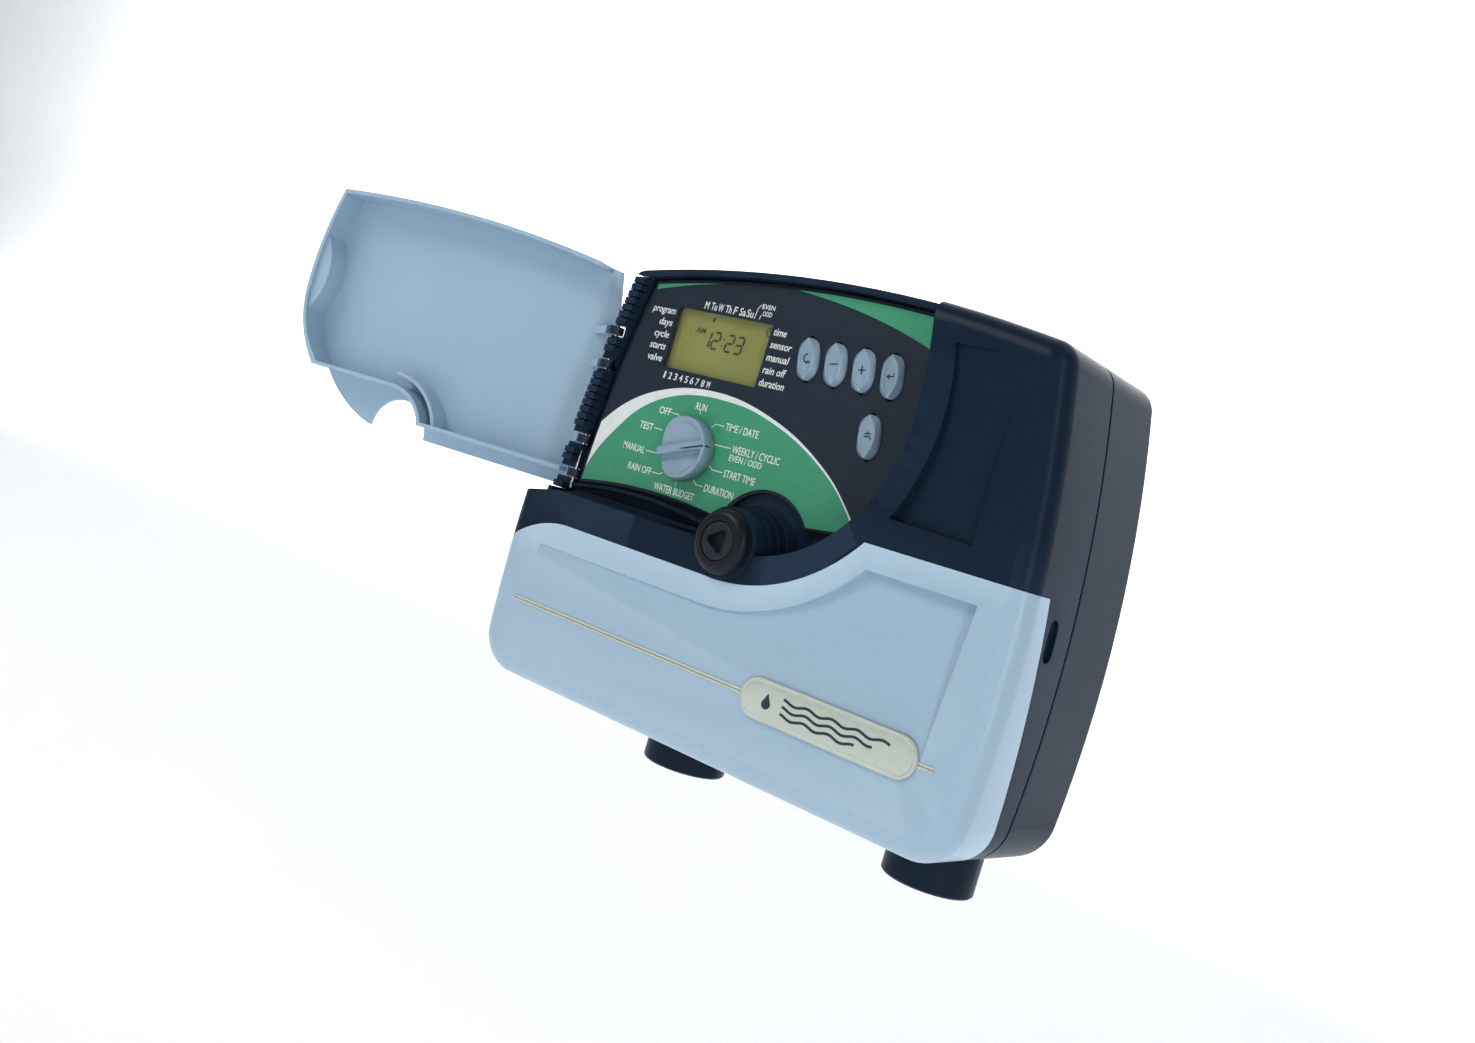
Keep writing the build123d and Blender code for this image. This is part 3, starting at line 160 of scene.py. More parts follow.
def moulded(name, colour, deep, rough=(0.34, 0.44), grain=2600.0, depth=0.00002, soften=0.00035,
            edge_highlight=None, coat=0.0, specular=0.5):
    """Injection-moulded plastic: slight colour drift, spark-eroded grain, uneven shine and, when a highlight
    colour is given, sharp edges coloured lighter as a painted highlight.
    """
    n = Nodes(name)
    drift = n.noise(9.0, 3.0, 0.6)
    fine = n.noise(grain, 2.0, 0.5)
    smear = n.noise(70.0, 5.0, 0.65)
    tone = n.ramp(drift, [(0.30, deep), (0.62, colour)])
    speck = n.spread(n.noise(grain * 0.45, 2.0, 0.5), 0.93, 1.05)
    grey = n.add("ShaderNodeCombineColor")
    for k in ("Red", "Green", "Blue"):
        n.link(speck, grey.inputs[k])
    tone = n.mix(1.0, tone, grey.outputs["Color"], "MULTIPLY")
    # painted highlight: sharp edges take a lighter colour, standing in for the light they catch
    if edge_highlight:
        tone = n.mix(n.edges(), tone, edge_highlight)
    n.link(tone, n.shader.inputs["Base Color"])
    n.link(n.spread(smear, *rough), n.shader.inputs["Roughness"])
    n.set(Specular_IOR_Level=specular, Coat_Weight=coat, Coat_Roughness=0.18)
    n.bump(fine, 0.25, depth, soften)
    return n.material


def blend_of(colour, share, other=(0.0, 0.0, 0.0)):
    """Colour with that share of another in it, which is black unless given."""
    return tuple(a * (1 - share) + b * share for a, b in zip(colour, other))


def metal(name, colour, rough=(0.22, 0.38), brushed=(1, 60, 1)):
    """Plated or drawn metal, with fine lines along one direction."""
    n = Nodes(name)
    lines = n.noise(900.0, 3.0, 0.6, brushed)
    n.link(n.ramp(n.noise(300.0), [(0.3, blend_of(colour, 0.35)), (0.7, colour)]),
           n.shader.inputs["Base Color"])
    n.link(n.spread(lines, *rough), n.shader.inputs["Roughness"])
    n.set(Metallic=1.0)
    n.bump(lines, 0.2, 0.00002, 0.0001)
    return n.material


def printed(name, colour, rough=0.36):
    """Screen ink on film: a faint mottle and the film's fine matt texture."""
    n = Nodes(name)
    mottle = n.noise(220.0, 4.0, 0.6)
    n.link(n.ramp(mottle, [(0.25, blend_of(colour, 0.10)), (0.75, colour)]), n.shader.inputs["Base Color"])
    n.link(n.spread(n.noise(60.0), rough - 0.05, rough + 0.07), n.shader.inputs["Roughness"])
    n.set(Specular_IOR_Level=0.35)
    n.bump(n.noise(3500.0, 2.0), 0.15, 0.00001)
    return n.material


def display_cell():
    """Reflective liquid crystal: olive, with the faint pitch of its electrodes."""
    n = Nodes("lcd_cell")
    drift = n.ramp(n.noise(26.0, 2.0), [(0.25, (0.190, 0.200, 0.036)), (0.75, (0.290, 0.300, 0.062))])
    wave = n.add("ShaderNodeTexWave", Scale=1500.0, Distortion=0.0)
    n.link(n.place, wave.inputs["Vector"])
    lines = n.spread(wave.outputs["Fac"], 0.94, 1.03)
    grey = n.add("ShaderNodeCombineColor")
    for k in ("Red", "Green", "Blue"):
        n.link(lines, grey.inputs[k])
    n.link(n.mix(1.0, drift, grey.outputs["Color"], "MULTIPLY"), n.shader.inputs["Base Color"])
    n.link(n.spread(n.noise(40.0), 0.24, 0.34), n.shader.inputs["Roughness"])
    n.bump(n.noise(900.0), 0.05, 0.00001)
    return n.material


def clear_sheet(name, tint, alpha):
    """Clear plastic or glass, of which only the shine and a faint tint show."""
    n = Nodes(name)
    n.link(n.ramp(n.noise(12.0), [(0.3, tint), (0.7, blend_of(tint, 0.06))]), n.shader.inputs["Base Color"])
    n.link(n.spread(n.noise(35.0), 0.05, 0.09), n.shader.inputs["Roughness"])
    n.set(Alpha=alpha, Specular_IOR_Level=0.5)
    return n.material


def circuit_board():
    """Green solder mask over copper tracks on a fine grid."""
    n = Nodes("solder_mask")
    mapping = n.add("ShaderNodeMapping", Scale=(420, 420, 420))
    n.link(n.place, mapping.inputs["Vector"])
    brick = n.add("ShaderNodeTexBrick", Scale=1.0)
    brick.inputs["Mortar Size"].default_value = 0.05
    brick.inputs["Color1"].default_value = (0.010, 0.075, 0.032, 1)
    brick.inputs["Color2"].default_value = (0.012, 0.090, 0.038, 1)
    brick.inputs["Mortar"].default_value = (0.022, 0.150, 0.062, 1)
    n.link(mapping.outputs["Vector"], brick.inputs["Vector"])
    n.link(brick.outputs["Color"], n.shader.inputs["Base Color"])
    n.link(n.spread(n.noise(120.0), 0.22, 0.34), n.shader.inputs["Roughness"])
    n.bump(brick.outputs["Fac"], 0.3, 0.00004)
    return n.material


def ribbon():
    """Flat cable: one ridge for each wire, with painted shade darkening the grooves between them."""
    n = Nodes("ribbon_wires")
    wave = n.add("ShaderNodeTexWave", Scale=250.0, Distortion=0.0, bands_direction="X")
    n.link(n.place, wave.inputs["Vector"])
    # painted shade: the colour darkens in the grooves between wires, where the bump sinks
    n.link(n.ramp(wave.outputs["Fac"], [(0.2, (0.12, 0.13, 0.14)), (0.6, (0.30, 0.31, 0.32))]),
           n.shader.inputs["Base Color"])
    n.link(n.spread(n.noise(90.0), 0.4, 0.55), n.shader.inputs["Roughness"])
    n.bump(wave.outputs["Fac"], 0.6, 0.0002)
    return n.material


def laminations():
    """Stacked steel sheets of the transformer core."""
    n = Nodes("core_laminations")
    wave = n.add("ShaderNodeTexWave", Scale=420.0, Distortion=0.4, bands_direction="Y")
    n.link(n.place, wave.inputs["Vector"])
    n.link(n.ramp(wave.outputs["Fac"], [(0.2, (0.035, 0.030, 0.026)), (0.7, (0.12, 0.11, 0.10))]),
           n.shader.inputs["Base Color"])
    n.link(n.spread(n.noise(200.0), 0.35, 0.6), n.shader.inputs["Roughness"])
    n.set(Metallic=0.8)
    n.bump(wave.outputs["Fac"], 0.5, 0.0001)
    return n.material


MATERIALS = {
    "case_plastic": moulded("pale_case", PALE, blend_of(PALE, 0.14, PALE_DEEP), rough=(0.30, 0.40),
                            edge_highlight=(0.55, 0.72, 0.86), coat=0.12),
    "key_plastic": moulded("pale_keys", (0.285, 0.405, 0.510), (0.245, 0.355, 0.455), rough=(0.28, 0.38),
                           grain=4200.0, soften=0.00025, edge_highlight=(0.52, 0.68, 0.82), coat=0.2),
    "navy_plastic": moulded("navy_case", NAVY, blend_of(NAVY, 0.35, NAVY_DEEP), rough=(0.26, 0.36),
                            specular=0.08, edge_highlight=(0.022, 0.042, 0.075)),
    "black_plastic": moulded("black_parts", BLACK, blend_of(BLACK, 0.4), rough=(0.34, 0.46), specular=0.25,
                             edge_highlight=(0.02, 0.028, 0.042)),
    "panel_print": printed("panel_navy_film", (0.0085, 0.0190, 0.0350), 0.45),
    "clear_window": clear_sheet("clear_window", (0.70, 0.76, 0.60), 0.035),
    "fuse_glass": clear_sheet("fuse_glass", (0.80, 0.84, 0.84), 0.35),
    "lcd": display_cell(),
    "cream_plastic": moulded("cream_trim", CREAM, blend_of(CREAM, 0.10), rough=(0.14, 0.24), coat=0.6,
                             grain=1500.0, depth=0.00001, soften=0.0002),
    "white_plastic": moulded("white_parts", (0.62, 0.64, 0.63), (0.55, 0.57, 0.56)),
    "board": circuit_board(),
    "chip": moulded("chip_epoxy", (0.012, 0.012, 0.013), (0.008, 0.008, 0.009), rough=(0.45, 0.6)),
    "screw_steel": metal("zinc_screws", (0.55, 0.56, 0.55)),
    "pin_steel": metal("pin_steel", (0.60, 0.60, 0.60), (0.18, 0.3), (60, 60, 1)),
    "rubber": moulded("seal_rubber", (0.009, 0.010, 0.012), (0.006, 0.007, 0.008), rough=(0.6, 0.75),
                      specular=0.3),
    "silicone": moulded("silicone_mat", (0.24, 0.26, 0.27), (0.20, 0.22, 0.23), rough=(0.5, 0.65)),
    "terminal_plastic": moulded("green_terminals", (0.012, 0.110, 0.045), (0.010, 0.09, 0.036)),
    "ribbon_pvc": ribbon(),
    "core_steel": laminations(),
    "coil_tape": moulded("winding_tape", (0.58, 0.34, 0.03), (0.48, 0.27, 0.02), rough=(0.25, 0.4)),
    "battery_wrap": moulded("battery_wrap", (0.018, 0.020, 0.024), (0.012, 0.012, 0.014), rough=(0.2, 0.3),
                            coat=0.5),
    "lock_metal": metal("nickel_plate", (0.62, 0.60, 0.57), (0.14, 0.25)),
}
GREEN_INK = printed("green_ink", GREEN, 0.40)
WHITE_PRINT = printed("white_ink", WHITE_INK, 0.40)
DARK_SEGMENT = printed("lcd_segments", (0.012, 0.013, 0.004), 0.35)
# dark marks for the key glyphs and the badge emblem; on the knob the same colour is a painted shadow for the
# pointer's slit
DARK_MARK_AND_SLIT_SHADE = printed("dark_marks_and_slit_shade", (0.020, 0.035, 0.062), 0.5)


def dress(obj, material):
    """obj with that one material."""
    obj.data.materials.clear()
    obj.data.materials.append(material)
    return obj


def lid_material():
    """The case plastic, with painted shade round the hinge pin: the knuckles are coloured navy to stand in
    for the shade in the hinge slots.
    """
    n = Nodes("pale_lid")
    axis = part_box("hinge_pin")
    centre = (axis[0] + axis[1]) / 2
    away = n.add("ShaderNodeVectorMath", operation="DISTANCE")
    flat = n.add("ShaderNodeVectorMath", operation="MULTIPLY")
    flat.inputs[1].default_value = (1, 1, 0)
    n.link(n.place, flat.inputs[0])
    n.link(flat.outputs["Vector"], away.inputs[0])
    away.inputs[1].default_value = (centre.x, centre.y, 0)
    shade = n.add("ShaderNodeMapRange")
    shade.inputs["From Min"].default_value = KNUCKLE_R * MM - KNUCKLE_FADE / 2 * MM
    shade.inputs["From Max"].default_value = KNUCKLE_R * MM + KNUCKLE_FADE / 2 * MM
    n.link(away.outputs["Value"], shade.inputs["Value"])
    pale = n.ramp(n.noise(9.0, 3.0, 0.6), [(0.30, blend_of(PALE, 0.14, PALE_DEEP)), (0.62, PALE)])
    # painted shade: navy within KNUCKLE_R of the hinge pin, in place of the shade in the slots
    n.link(n.mix(shade.outputs["Result"], NAVY, pale), n.shader.inputs["Base Color"])
    n.link(n.spread(n.noise(70.0, 5.0, 0.65), 0.30, 0.40), n.shader.inputs["Roughness"])
    n.set(Specular_IOR_Level=0.4)
    n.bump(n.noise(2600.0, 2.0, 0.5), 0.25, 0.00002, 0.00035)
    return n.material


for name, node in NODES.items():
    dress(node, MATERIALS[SLOTS[name]])
dress(NODES["lid"], lid_material())


# ------------------------------------------------------------------ geometry helpers
def put(name, mesh, material, body):
    """A new piece that rides on a body."""
    obj = bpy.data.objects.new(name, mesh)
    bpy.context.scene.collection.objects.link(obj)
    dress(obj, material)
    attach(obj, body)
    return obj


def curve_through(points, steps=14):
    """A smooth line through points, as a Catmull-Rom spline."""
    ends = [points[0]] + list(points) + [points[-1]]
    out = []
    for i in range(1, len(ends) - 2):
        a, b, c, d = (Vector(p) for p in ends[i - 1:i + 3])
        for k in range(steps):
            t = k / steps
            out.append(tuple(0.5 * (2 * b + (c - a) * t + (2 * a - 5 * b + 4 * c - d) * t * t
                                    + (3 * b - a - 3 * c + d) * t * t * t)))
    out.append(tuple(ends[-2]))
    return out


def prism(outline, near, far):
    """A closed solid from an outline in x and z, between two depths from the wall."""
    bm = bmesh.new()
    front = [bm.verts.new((x * MM, -near * MM, z * MM)) for x, z in outline]
    back = [bm.verts.new((x * MM, -far * MM, z * MM)) for x, z in outline]
    bm.faces.new(front)
    bm.faces.new(back[::-1])
    n = len(outline)
    for i in range(n):
        j = (i + 1) % n
        bm.faces.new((front[i], back[i], back[j], front[j]))
    bmesh.ops.recalc_face_normals(bm, faces=bm.faces)
    bmesh.ops.triangulate(bm, faces=[f for f in bm.faces if len(f.verts) > 4])
    mesh = bpy.data.meshes.new("prism")
    bm.to_mesh(mesh)
    bm.free()
    return mesh


def evaluated(obj):
    """obj's mesh once its modifiers have run, or a text's mesh."""
    depsgraph = bpy.context.evaluated_depsgraph_get()
    return bpy.data.meshes.new_from_object(obj.evaluated_get(depsgraph))


def film_area(name, outline, layer, material):
    """Part of the printed film's own outline, as one layer of ink lying on it."""
    source = NODES["panel_overlay"].data.copy()
    face = FILM_FACE - 0.125
    for v in source.vertices:
        front = -v.co.y / MM > face
        v.co.y = -(FILM_FACE + INK * layer if front else FILM_FACE - 0.02) * MM
    sheet = bpy.data.objects.new("sheet", source)
    cutter = bpy.data.objects.new("cutter", prism(outline, FILM_FACE + 2, FILM_FACE - 2))
    for o in (sheet, cutter):
        bpy.context.scene.collection.objects.link(o)
    cut = sheet.modifiers.new("cut", "BOOLEAN")
    cut.operation = "INTERSECT"
    cut.solver = "EXACT"
    cut.object = cutter
    mesh = evaluated(sheet)
    for o in (sheet, cutter):
        bpy.data.objects.remove(o)
    return put(name, mesh, material, "base")


def joined(meshes):
    """Several meshes as one."""
    bm = bmesh.new()
    for mesh in meshes:
        bm.from_mesh(mesh)
    out = bpy.data.meshes.new("joined")
    bm.to_mesh(out)
    bm.free()
    return out


def outline_of(text, lean, weight, thick):
    """Plain lettering lying flat, one metre to the em."""
    curve = bpy.data.curves.new("word", "FONT")
    curve.body = text
    curve.size = 1.0
    curve.align_y = "BOTTOM_BASELINE"
    curve.extrude = thick / 2
    curve.offset = weight
    curve.shear = lean
    curve.resolution_u = 3
    word = bpy.data.objects.new("word", curve)
    bpy.context.scene.collection.objects.link(word)
    bpy.context.view_layer.update()
    mesh = evaluated(word)
    bpy.data.objects.remove(word)
    return mesh


CAP = max(v.co.y for v in outline_of("H", 0, 0, 0.01).vertices)


def lettering(text, x, z, height, wide, face, align="LEFT", lean=0.0, weight=0.01, thick=INK):
    """A word standing on a face that looks forward, with capitals of that height and the word that wide."""
    mesh = outline_of(text, lean, weight, 1.0)
    left = min(v.co.x for v in mesh.vertices)
    right = max(v.co.x for v in mesh.vertices)
    start = {"LEFT": x, "CENTER": x - wide / 2, "RIGHT": x - wide}[align]
    for v in mesh.vertices:
        along = start + (v.co.x - left) / (right - left) * wide
        up = z + (v.co.y / CAP - 0.5) * height
        v.co = (along * MM, -(face + v.co.z * thick) * MM, up * MM)
    return mesh


def stroke(points, width, face, thick=INK):
    """A drawn line of even width along points in x and z."""
    left, right = [], []
    for i, p in enumerate(points):
        before, after = Vector(points[max(i - 1, 0)]), Vector(points[min(i + 1, len(points) - 1)])
        along = (after - before).normalized()
        side = Vector((-along.y, along.x)) * width / 2
        left.append(tuple(Vector(p) + side))
        right.append(tuple(Vector(p) - side))
    return prism(left + right[::-1], face + thick / 2, face - thick / 2)


# ------------------------------------------------------------------ printed panel
GREEN_EDGE = [(-99.8, -12), (-99.3, -5.3), (-94.3, 7.0), (-86.9, 17.6), (-80.0, 25.3), (-71.2, 31.2),
              (-60.5, 35.3), (-49.3, 37.2), (-38.0, 37.4), (-26.2, 36.6), (-15.3, 34.2), (-4.6, 30.8),
              (6.5, 25.9), (18.2, 19.0), (26.5, 12.0), (36.0, 2.0)]
WHITE_EDGE = [(-103.2, -12), (-102.6, -6.0), (-99.9, 12.0), (-93.0, 21.6), (-84.2, 28.9), (-73.8, 34.3),
              (-60.3, 38.3), (-46.0, 39.8), (-32.0, 39.2), (-18.6, 36.5), (-4.9, 32.2), (6.4, 27.0),
              (18.1, 19.9), (26.8, 12.5), (36.6, 2.6)]
NAVY_EDGE = [(-104, 69.6), (-86.9, 74.2), (-73.7, 77.3), (-58.6, 80.1), (-43.8, 82.1), (-32.8, 83.2),
             (-22.0, 83.3), (-12.0, 82.4), (-0.1, 81.0), (11.8, 79.0), (23.7, 76.4), (37.3, 72.6),
             (56, 66.0)]
film_area("print_white_band", curve_through(WHITE_EDGE) + [(36.6, -30), (-103.2, -30)], 1, WHITE_PRINT)
film_area("print_green_dial", curve_through(GREEN_EDGE) + [(36.0, -30), (-99.8, -30)], 2, GREEN_INK)
film_area("print_green_crest", curve_through(NAVY_EDGE) + [(56, 95), (-104, 95)], 1, GREEN_INK)

INK_ON_GREEN = FILM_FACE + INK * 2.5
INK_ON_NAVY = FILM_FACE + INK * 0.5
LEGEND_CAP = 2.75                                     # height of a capital
STATES = (("program", 12.2), ("days", 6.9), ("cycle", 7.7), ("starts", 8.3), ("valve", 7.7))
STATES_RIGHT, STATES_TOP, STATES_STEP = -74.9, 66.8, 4.78
READINGS = (("time", 6.0), ("sensor", 10.2), ("manual", 10.6), ("rain off", 10.9), ("duration", 11.8))
READINGS_LEFT, READINGS_TOP, READINGS_STEP = -25.0, 66.6, 4.82
ITALIC = 0.16
DAYS = (("M", 2.2, -60.2), ("Tu", 2.9, -56.5), ("W", 2.6, -53.0), ("Th", 3.0, -49.2), ("F", 1.8, -45.7),
        ("Sa", 3.1, -42.1), ("Su", 3.2, -38.4))
DAYS_Z, DAYS_CAP = 71.4, 2.9
VALVES_LEFT, VALVES_PITCH, VALVES_Z, VALVES_CAP = -71.1, 2.86, 41.8, 2.6
UPRIGHT = 0.06
LINE_W = 0.3                                          # printed lines on the navy
LEADER_W = 0.32                                       # printed lines on the green

words = []
for i, (word, wide) in enumerate(STATES):
    z = STATES_TOP - STATES_STEP * i
    words.append(lettering(word, STATES_RIGHT, z, LEGEND_CAP, wide, INK_ON_NAVY, "RIGHT", ITALIC))
for i, (word, wide) in enumerate(READINGS):
    z = READINGS_TOP - READINGS_STEP * i
    words.append(lettering(word, READINGS_LEFT, z, LEGEND_CAP, wide, INK_ON_NAVY, "LEFT", ITALIC))
for word, wide, x in DAYS:
    words.append(lettering(word, x, DAYS_Z, DAYS_CAP, wide, INK_ON_NAVY, "CENTER", UPRIGHT))
words.append(stroke([(-36.0, 69.7), (-35.4, 73.9), (-34.4, 75.2), (-33.9, 75.3)], LINE_W, INK_ON_NAVY))
words.append(stroke([(-33.5, 69.9), (-33.2, 71.6)], LINE_W, INK_ON_NAVY))
words.append(lettering("EVEN", -33.6, 74.9, 1.8, 6.0, INK_ON_NAVY))
words.append(lettering("ODD", -32.6, 72.3, 1.8, 4.4, INK_ON_NAVY))
for i, digit in enumerate("12345678M"):
    wide = 1.1 if digit == "1" else 1.65
    x = VALVES_LEFT + VALVES_PITCH * i
    words.append(lettering(digit, x, VALVES_Z, VALVES_CAP, wide, INK_ON_NAVY, "CENTER", UPRIGHT))
DIAL_WORDS = (
    ("RUN", 5.4, -48.2, 33.0, "CENTER"), ("TIME / DATE", 16.0, -34.1, 28.2, "LEFT"),
    ("WEEKLY / CYCLIC", 22.7, -28.0, 20.8, "LEFT"), ("START TIME", 15.1, -28.6, 11.3, "LEFT"),
    ("DURATION", 14.2, -35.6, 4.1, "LEFT"), ("WATER BUDGET", 20.7, -49.6, -0.7, "CENTER"),
    ("RAIN OFF", 12.3, -63.5, 4.0, "RIGHT"), ("MANUAL", 11.6, -69.8, 11.3, "RIGHT"),
    ("TEST", 7.1, -69.0, 20.7, "RIGHT"), ("OFF", 6.2, -62.2, 28.1, "RIGHT"),
)
for word, wide, x, z, align in DIAL_WORDS:
    words.append(lettering(word, x, z, LEGEND_CAP, wide, INK_ON_GREEN, align, 0.0, 0.008))
words.append(lettering("EVEN / ODD", -28.2, 17.5, 2.3, 15.6, INK_ON_GREEN, "LEFT", 0.0, 0.006))
LEADERS = (
    ((-47.9, 30.1), (-48.2, 31.4)),
    ((-40.6, 26.5), (-39.0, 28.1), (-34.8, 28.1)),
    ((-37.2, 20.6), (-28.8, 20.8)),
    ((-36.6, 12.6), (-34.4, 11.3), (-29.4, 11.3)),
    ((-42.0, 6.0), (-40.0, 4.2), (-36.4, 4.2)),
    ((-49.7, 3.2), (-49.5, 1.2)),
    ((-57.6, 5.0), (-59.0, 4.1), (-62.8, 4.0)),
    ((-63.6, 11.5), (-69.2, 11.4)),
    ((-63.8, 20.7), (-68.4, 20.7)),
    ((-57.4, 27.2), (-58.2, 28.0), (-61.6, 28.0)),
)
for points in LEADERS:
    words.append(stroke(points, LEADER_W, INK_ON_GREEN))
put("print_legends", joined(words), WHITE_PRINT, "base")

# ------------------------------------------------------------------ display
SEGMENTS = {"1": "bc", "2": "abged", "3": "abgcd"}
FIGURE_FOOT, FIGURE_W, FIGURE_H, SEGMENT_W = 55.8, 3.3, 6.4, 0.85
FIGURE_LEAN = 0.10
DOT_R = 0.42
MARK_W = 0.4
SEGMENT_T = INK * 3


def seven(digit, x, z, w, h, t):
    """One seven-segment figure with pointed segment ends."""
    gap = t * 0.18
    half = h / 2
    spans = {
        "a": ((0, h), (w, h)), "g": ((0, half), (w, half)), "d": ((0, 0), (w, 0)),
        "f": ((0, half), (0, h)), "b": ((w, half), (w, h)),
        "e": ((0, 0), (0, half)), "c": ((w, 0), (w, half)),
    }
    out = []
    for key in SEGMENTS[digit]:
        (x0, z0), (x1, z1) = spans[key]
        along = (Vector((x1, z1)) - Vector((x0, z0))).normalized()
        side = Vector((-along.y, along.x)) * t / 2
        a = Vector((x0, z0)) + along * gap
        b = Vector((x1, z1)) - along * gap
        inner = along * t / 2
        outline = [a, a + inner + side, b - inner + side, b, b - inner - side, a + inner - side]
        out.append(prism([(x + p.x + p.y * FIGURE_LEAN, z + p.y) for p in outline],
                         GLASS_FACE + SEGMENT_T, GLASS_FACE))
    return out


def on_glass(points):
    """A drawn mark on the display's cell."""
    return stroke(points, MARK_W, GLASS_FACE + INK, INK * 2)


shapes = []
for digit, x in (("1", -59.9), ("2", -55.2), ("2", -48.2), ("3", -43.4)):
    shapes += seven(digit, x, FIGURE_FOOT, FIGURE_W, FIGURE_H, SEGMENT_W)
for z in (57.6, 60.2):
    x = -49.9 + 0.1 * (z - 55.6)
    dot = [(x + DOT_R * cos(k * pi / 8), z + DOT_R * sin(k * pi / 8)) for k in range(16)]
    shapes.append(prism(dot, GLASS_FACE + INK, GLASS_FACE))
shapes.append(lettering("AM", -64.4, 61.9, 2.1, 5.0, GLASS_FACE + INK, "LEFT", 0.08, 0.02, INK * 2))
shapes.append(stroke([(-56.9, 67.6), (-57.2, 65.9)], 1.0, GLASS_FACE + INK, INK * 2))
CLOCK_X, CLOCK_Z, CLOCK_R = -28.6, 66.3, 1.75
shapes.append(on_glass([(CLOCK_X + CLOCK_R * cos(k * pi / 16), CLOCK_Z + CLOCK_R * sin(k * pi / 16))
                        for k in range(33)]))
shapes.append(on_glass([(CLOCK_X - 0.7, CLOCK_Z + 0.8), (CLOCK_X, CLOCK_Z), (CLOCK_X + 1.0, CLOCK_Z + 0.7)]))
put("lcd_figures", joined(shapes), DARK_SEGMENT, "base")

# ------------------------------------------------------------------ keys
KEY_FACE_W, KEY_FACE_H = 6.3, 15.2                    # the pointed face on top of each key
KEY_FOOT_W, KEY_FOOT_H = 9.0, 15.8
KEY_LEAN = radians(11)
KEY_MARK_W = 0.46
KEY_MARK_SINK = 0.74                                  # the marks lie in the dish, this far behind the rim


def pointed_oval(wide, high, blunt, count=36):
    """Outline of a key about its own centre. Blunt rounds off its two points."""
    out = []
    for side in (1, -1):
        for k in range(count):
            t = -1 + 2 * k / count
            share = max(1 - abs(t) ** (2.0 + 2.5 * blunt), 0.0) ** (1.0 - 0.45 * blunt)
            out.append((side * wide / 2 * share, side * t * high / 2))
    return out


def lofted(rings, cx, cz, lean):
    """A closed skin through rings of (outline, depth), about a centre and leaning left."""
    bm = bmesh.new()
    loops = []
    for outline, depth in rings:
        loops.append([bm.verts.new(((cx + x * cos(lean) - z * sin(lean)) * MM, -depth * MM,
                                    (cz + x * sin(lean) + z * cos(lean)) * MM)) for x, z in outline])
    n = len(loops[0])
    for a, b in zip(loops, loops[1:]):
        for i in range(n):
            j = (i + 1) % n
            bm.faces.new((a[i], a[j], b[j], b[i]))
    bm.faces.new(loops[0][::-1])
    bm.faces.new(loops[-1])
    bmesh.ops.recalc_face_normals(bm, faces=bm.faces)
    for f in bm.faces:
        f.smooth = True
    mesh = bpy.data.meshes.new("lofted")
    bm.to_mesh(mesh)
    bm.free()
    return mesh


def sized(outline, sx, sz):
    """outline scaled about its own centre."""
    return [(x * sx, z * sz) for x, z in outline]


GLYPHS = {
    "key_cycle": [[(1.15 * cos(radians(a)), 1.5 * sin(radians(a)) + 0.1) for a in range(60, 330, 15)],
                  [(0.1, -1.9), (1.15, -1.0), (1.6, -2.0)]],
    "key_minus": [[(-1.5, 0.0), (1.5, 0.0)]],
    "key_plus": [[(-1.5, 0.0), (1.5, 0.0)], [(0.0, -1.6), (0.0, 1.6)]],
    "key_enter": [[(1.2, 1.1), (1.2, -0.1), (-1.4, -0.1)], [(-0.6, 0.6), (-1.5, -0.1), (-0.6, -0.8)]],
    "key_tap": [[(-1.3, 0.9), (1.2, 0.9)], [(0.0, 1.7), (0.0, 0.9)],
                [(-1.4, -0.1), (0.9, -0.1), (1.4, -1.2)]],
}
for key, marks in GLYPHS.items():
    low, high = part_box(key)
    cx, cz = (low.x + high.x) / 2 / MM, (low.z + high.z) / 2 / MM
    foot, front = -high.y / MM, -low.y / MM
    base = pointed_oval(KEY_FOOT_W, KEY_FOOT_H, 0.75)
    face = pointed_oval(KEY_FACE_W, KEY_FACE_H, 0.12)
    rings = [(base, foot), (base, FILM_FACE + 0.5), (sized(base, 0.985, 0.99), FILM_FACE + 0.8),
             (sized(face, 1.10, 1.0), front - 0.45), (sized(face, 1.03, 0.985), front - 0.12),
             (sized(face, 0.97, 0.965), front), (sized(face, 0.88, 0.935), front - 0.03),
             (sized(face, 0.81, 0.90), front - 0.30), (sized(face, 0.70, 0.80), front - 0.62),
             (sized(face, 0.45, 0.52), front - 0.78), (sized(face, 0.12, 0.14), front - 0.82)]
    cap = put(key + "_cap", lofted(rings, cx, cz, KEY_LEAN), MATERIALS["key_plastic"], key)
    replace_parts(cap, key)
    lines = []
    for points in marks:
        leaning = [(cx + x * cos(KEY_LEAN) - z * sin(KEY_LEAN), cz + x * sin(KEY_LEAN) + z * cos(KEY_LEAN))
                   for x, z in points]
        lines.append(stroke(leaning, KEY_MARK_W, front - KEY_MARK_SINK, 0.12))
    put(key + "_mark", joined(lines), DARK_MARK_AND_SLIT_SHADE, key)

# ------------------------------------------------------------------ selector knob
KNOB_FOOT, KNOB_FACE = -KNOB_HIGH.y / MM, -KNOB_LOW.y / MM
KNOB_TOP_R = KNOB_R - 0.9
POINTER = radians(18)
SCOOP = 3.6                                           # deepest part of each scoop
BAR_HALF = 1.55
BAR_STEPS = (-0.4, -0.1, 0.1, 0.3, 0.5, 0.7, 1.0, 1.4)  # extra rows of the mesh beside the bar
LINE_V = 0.75 - BAR_HALF                              # the painted shadow line runs along here
LINE_HALF = 0.34


def ease(t):
    """0 to 1, with a soft start and end."""
    t = min(max(t, 0.0), 1.0)
    return t * t * (3 - 2 * t)


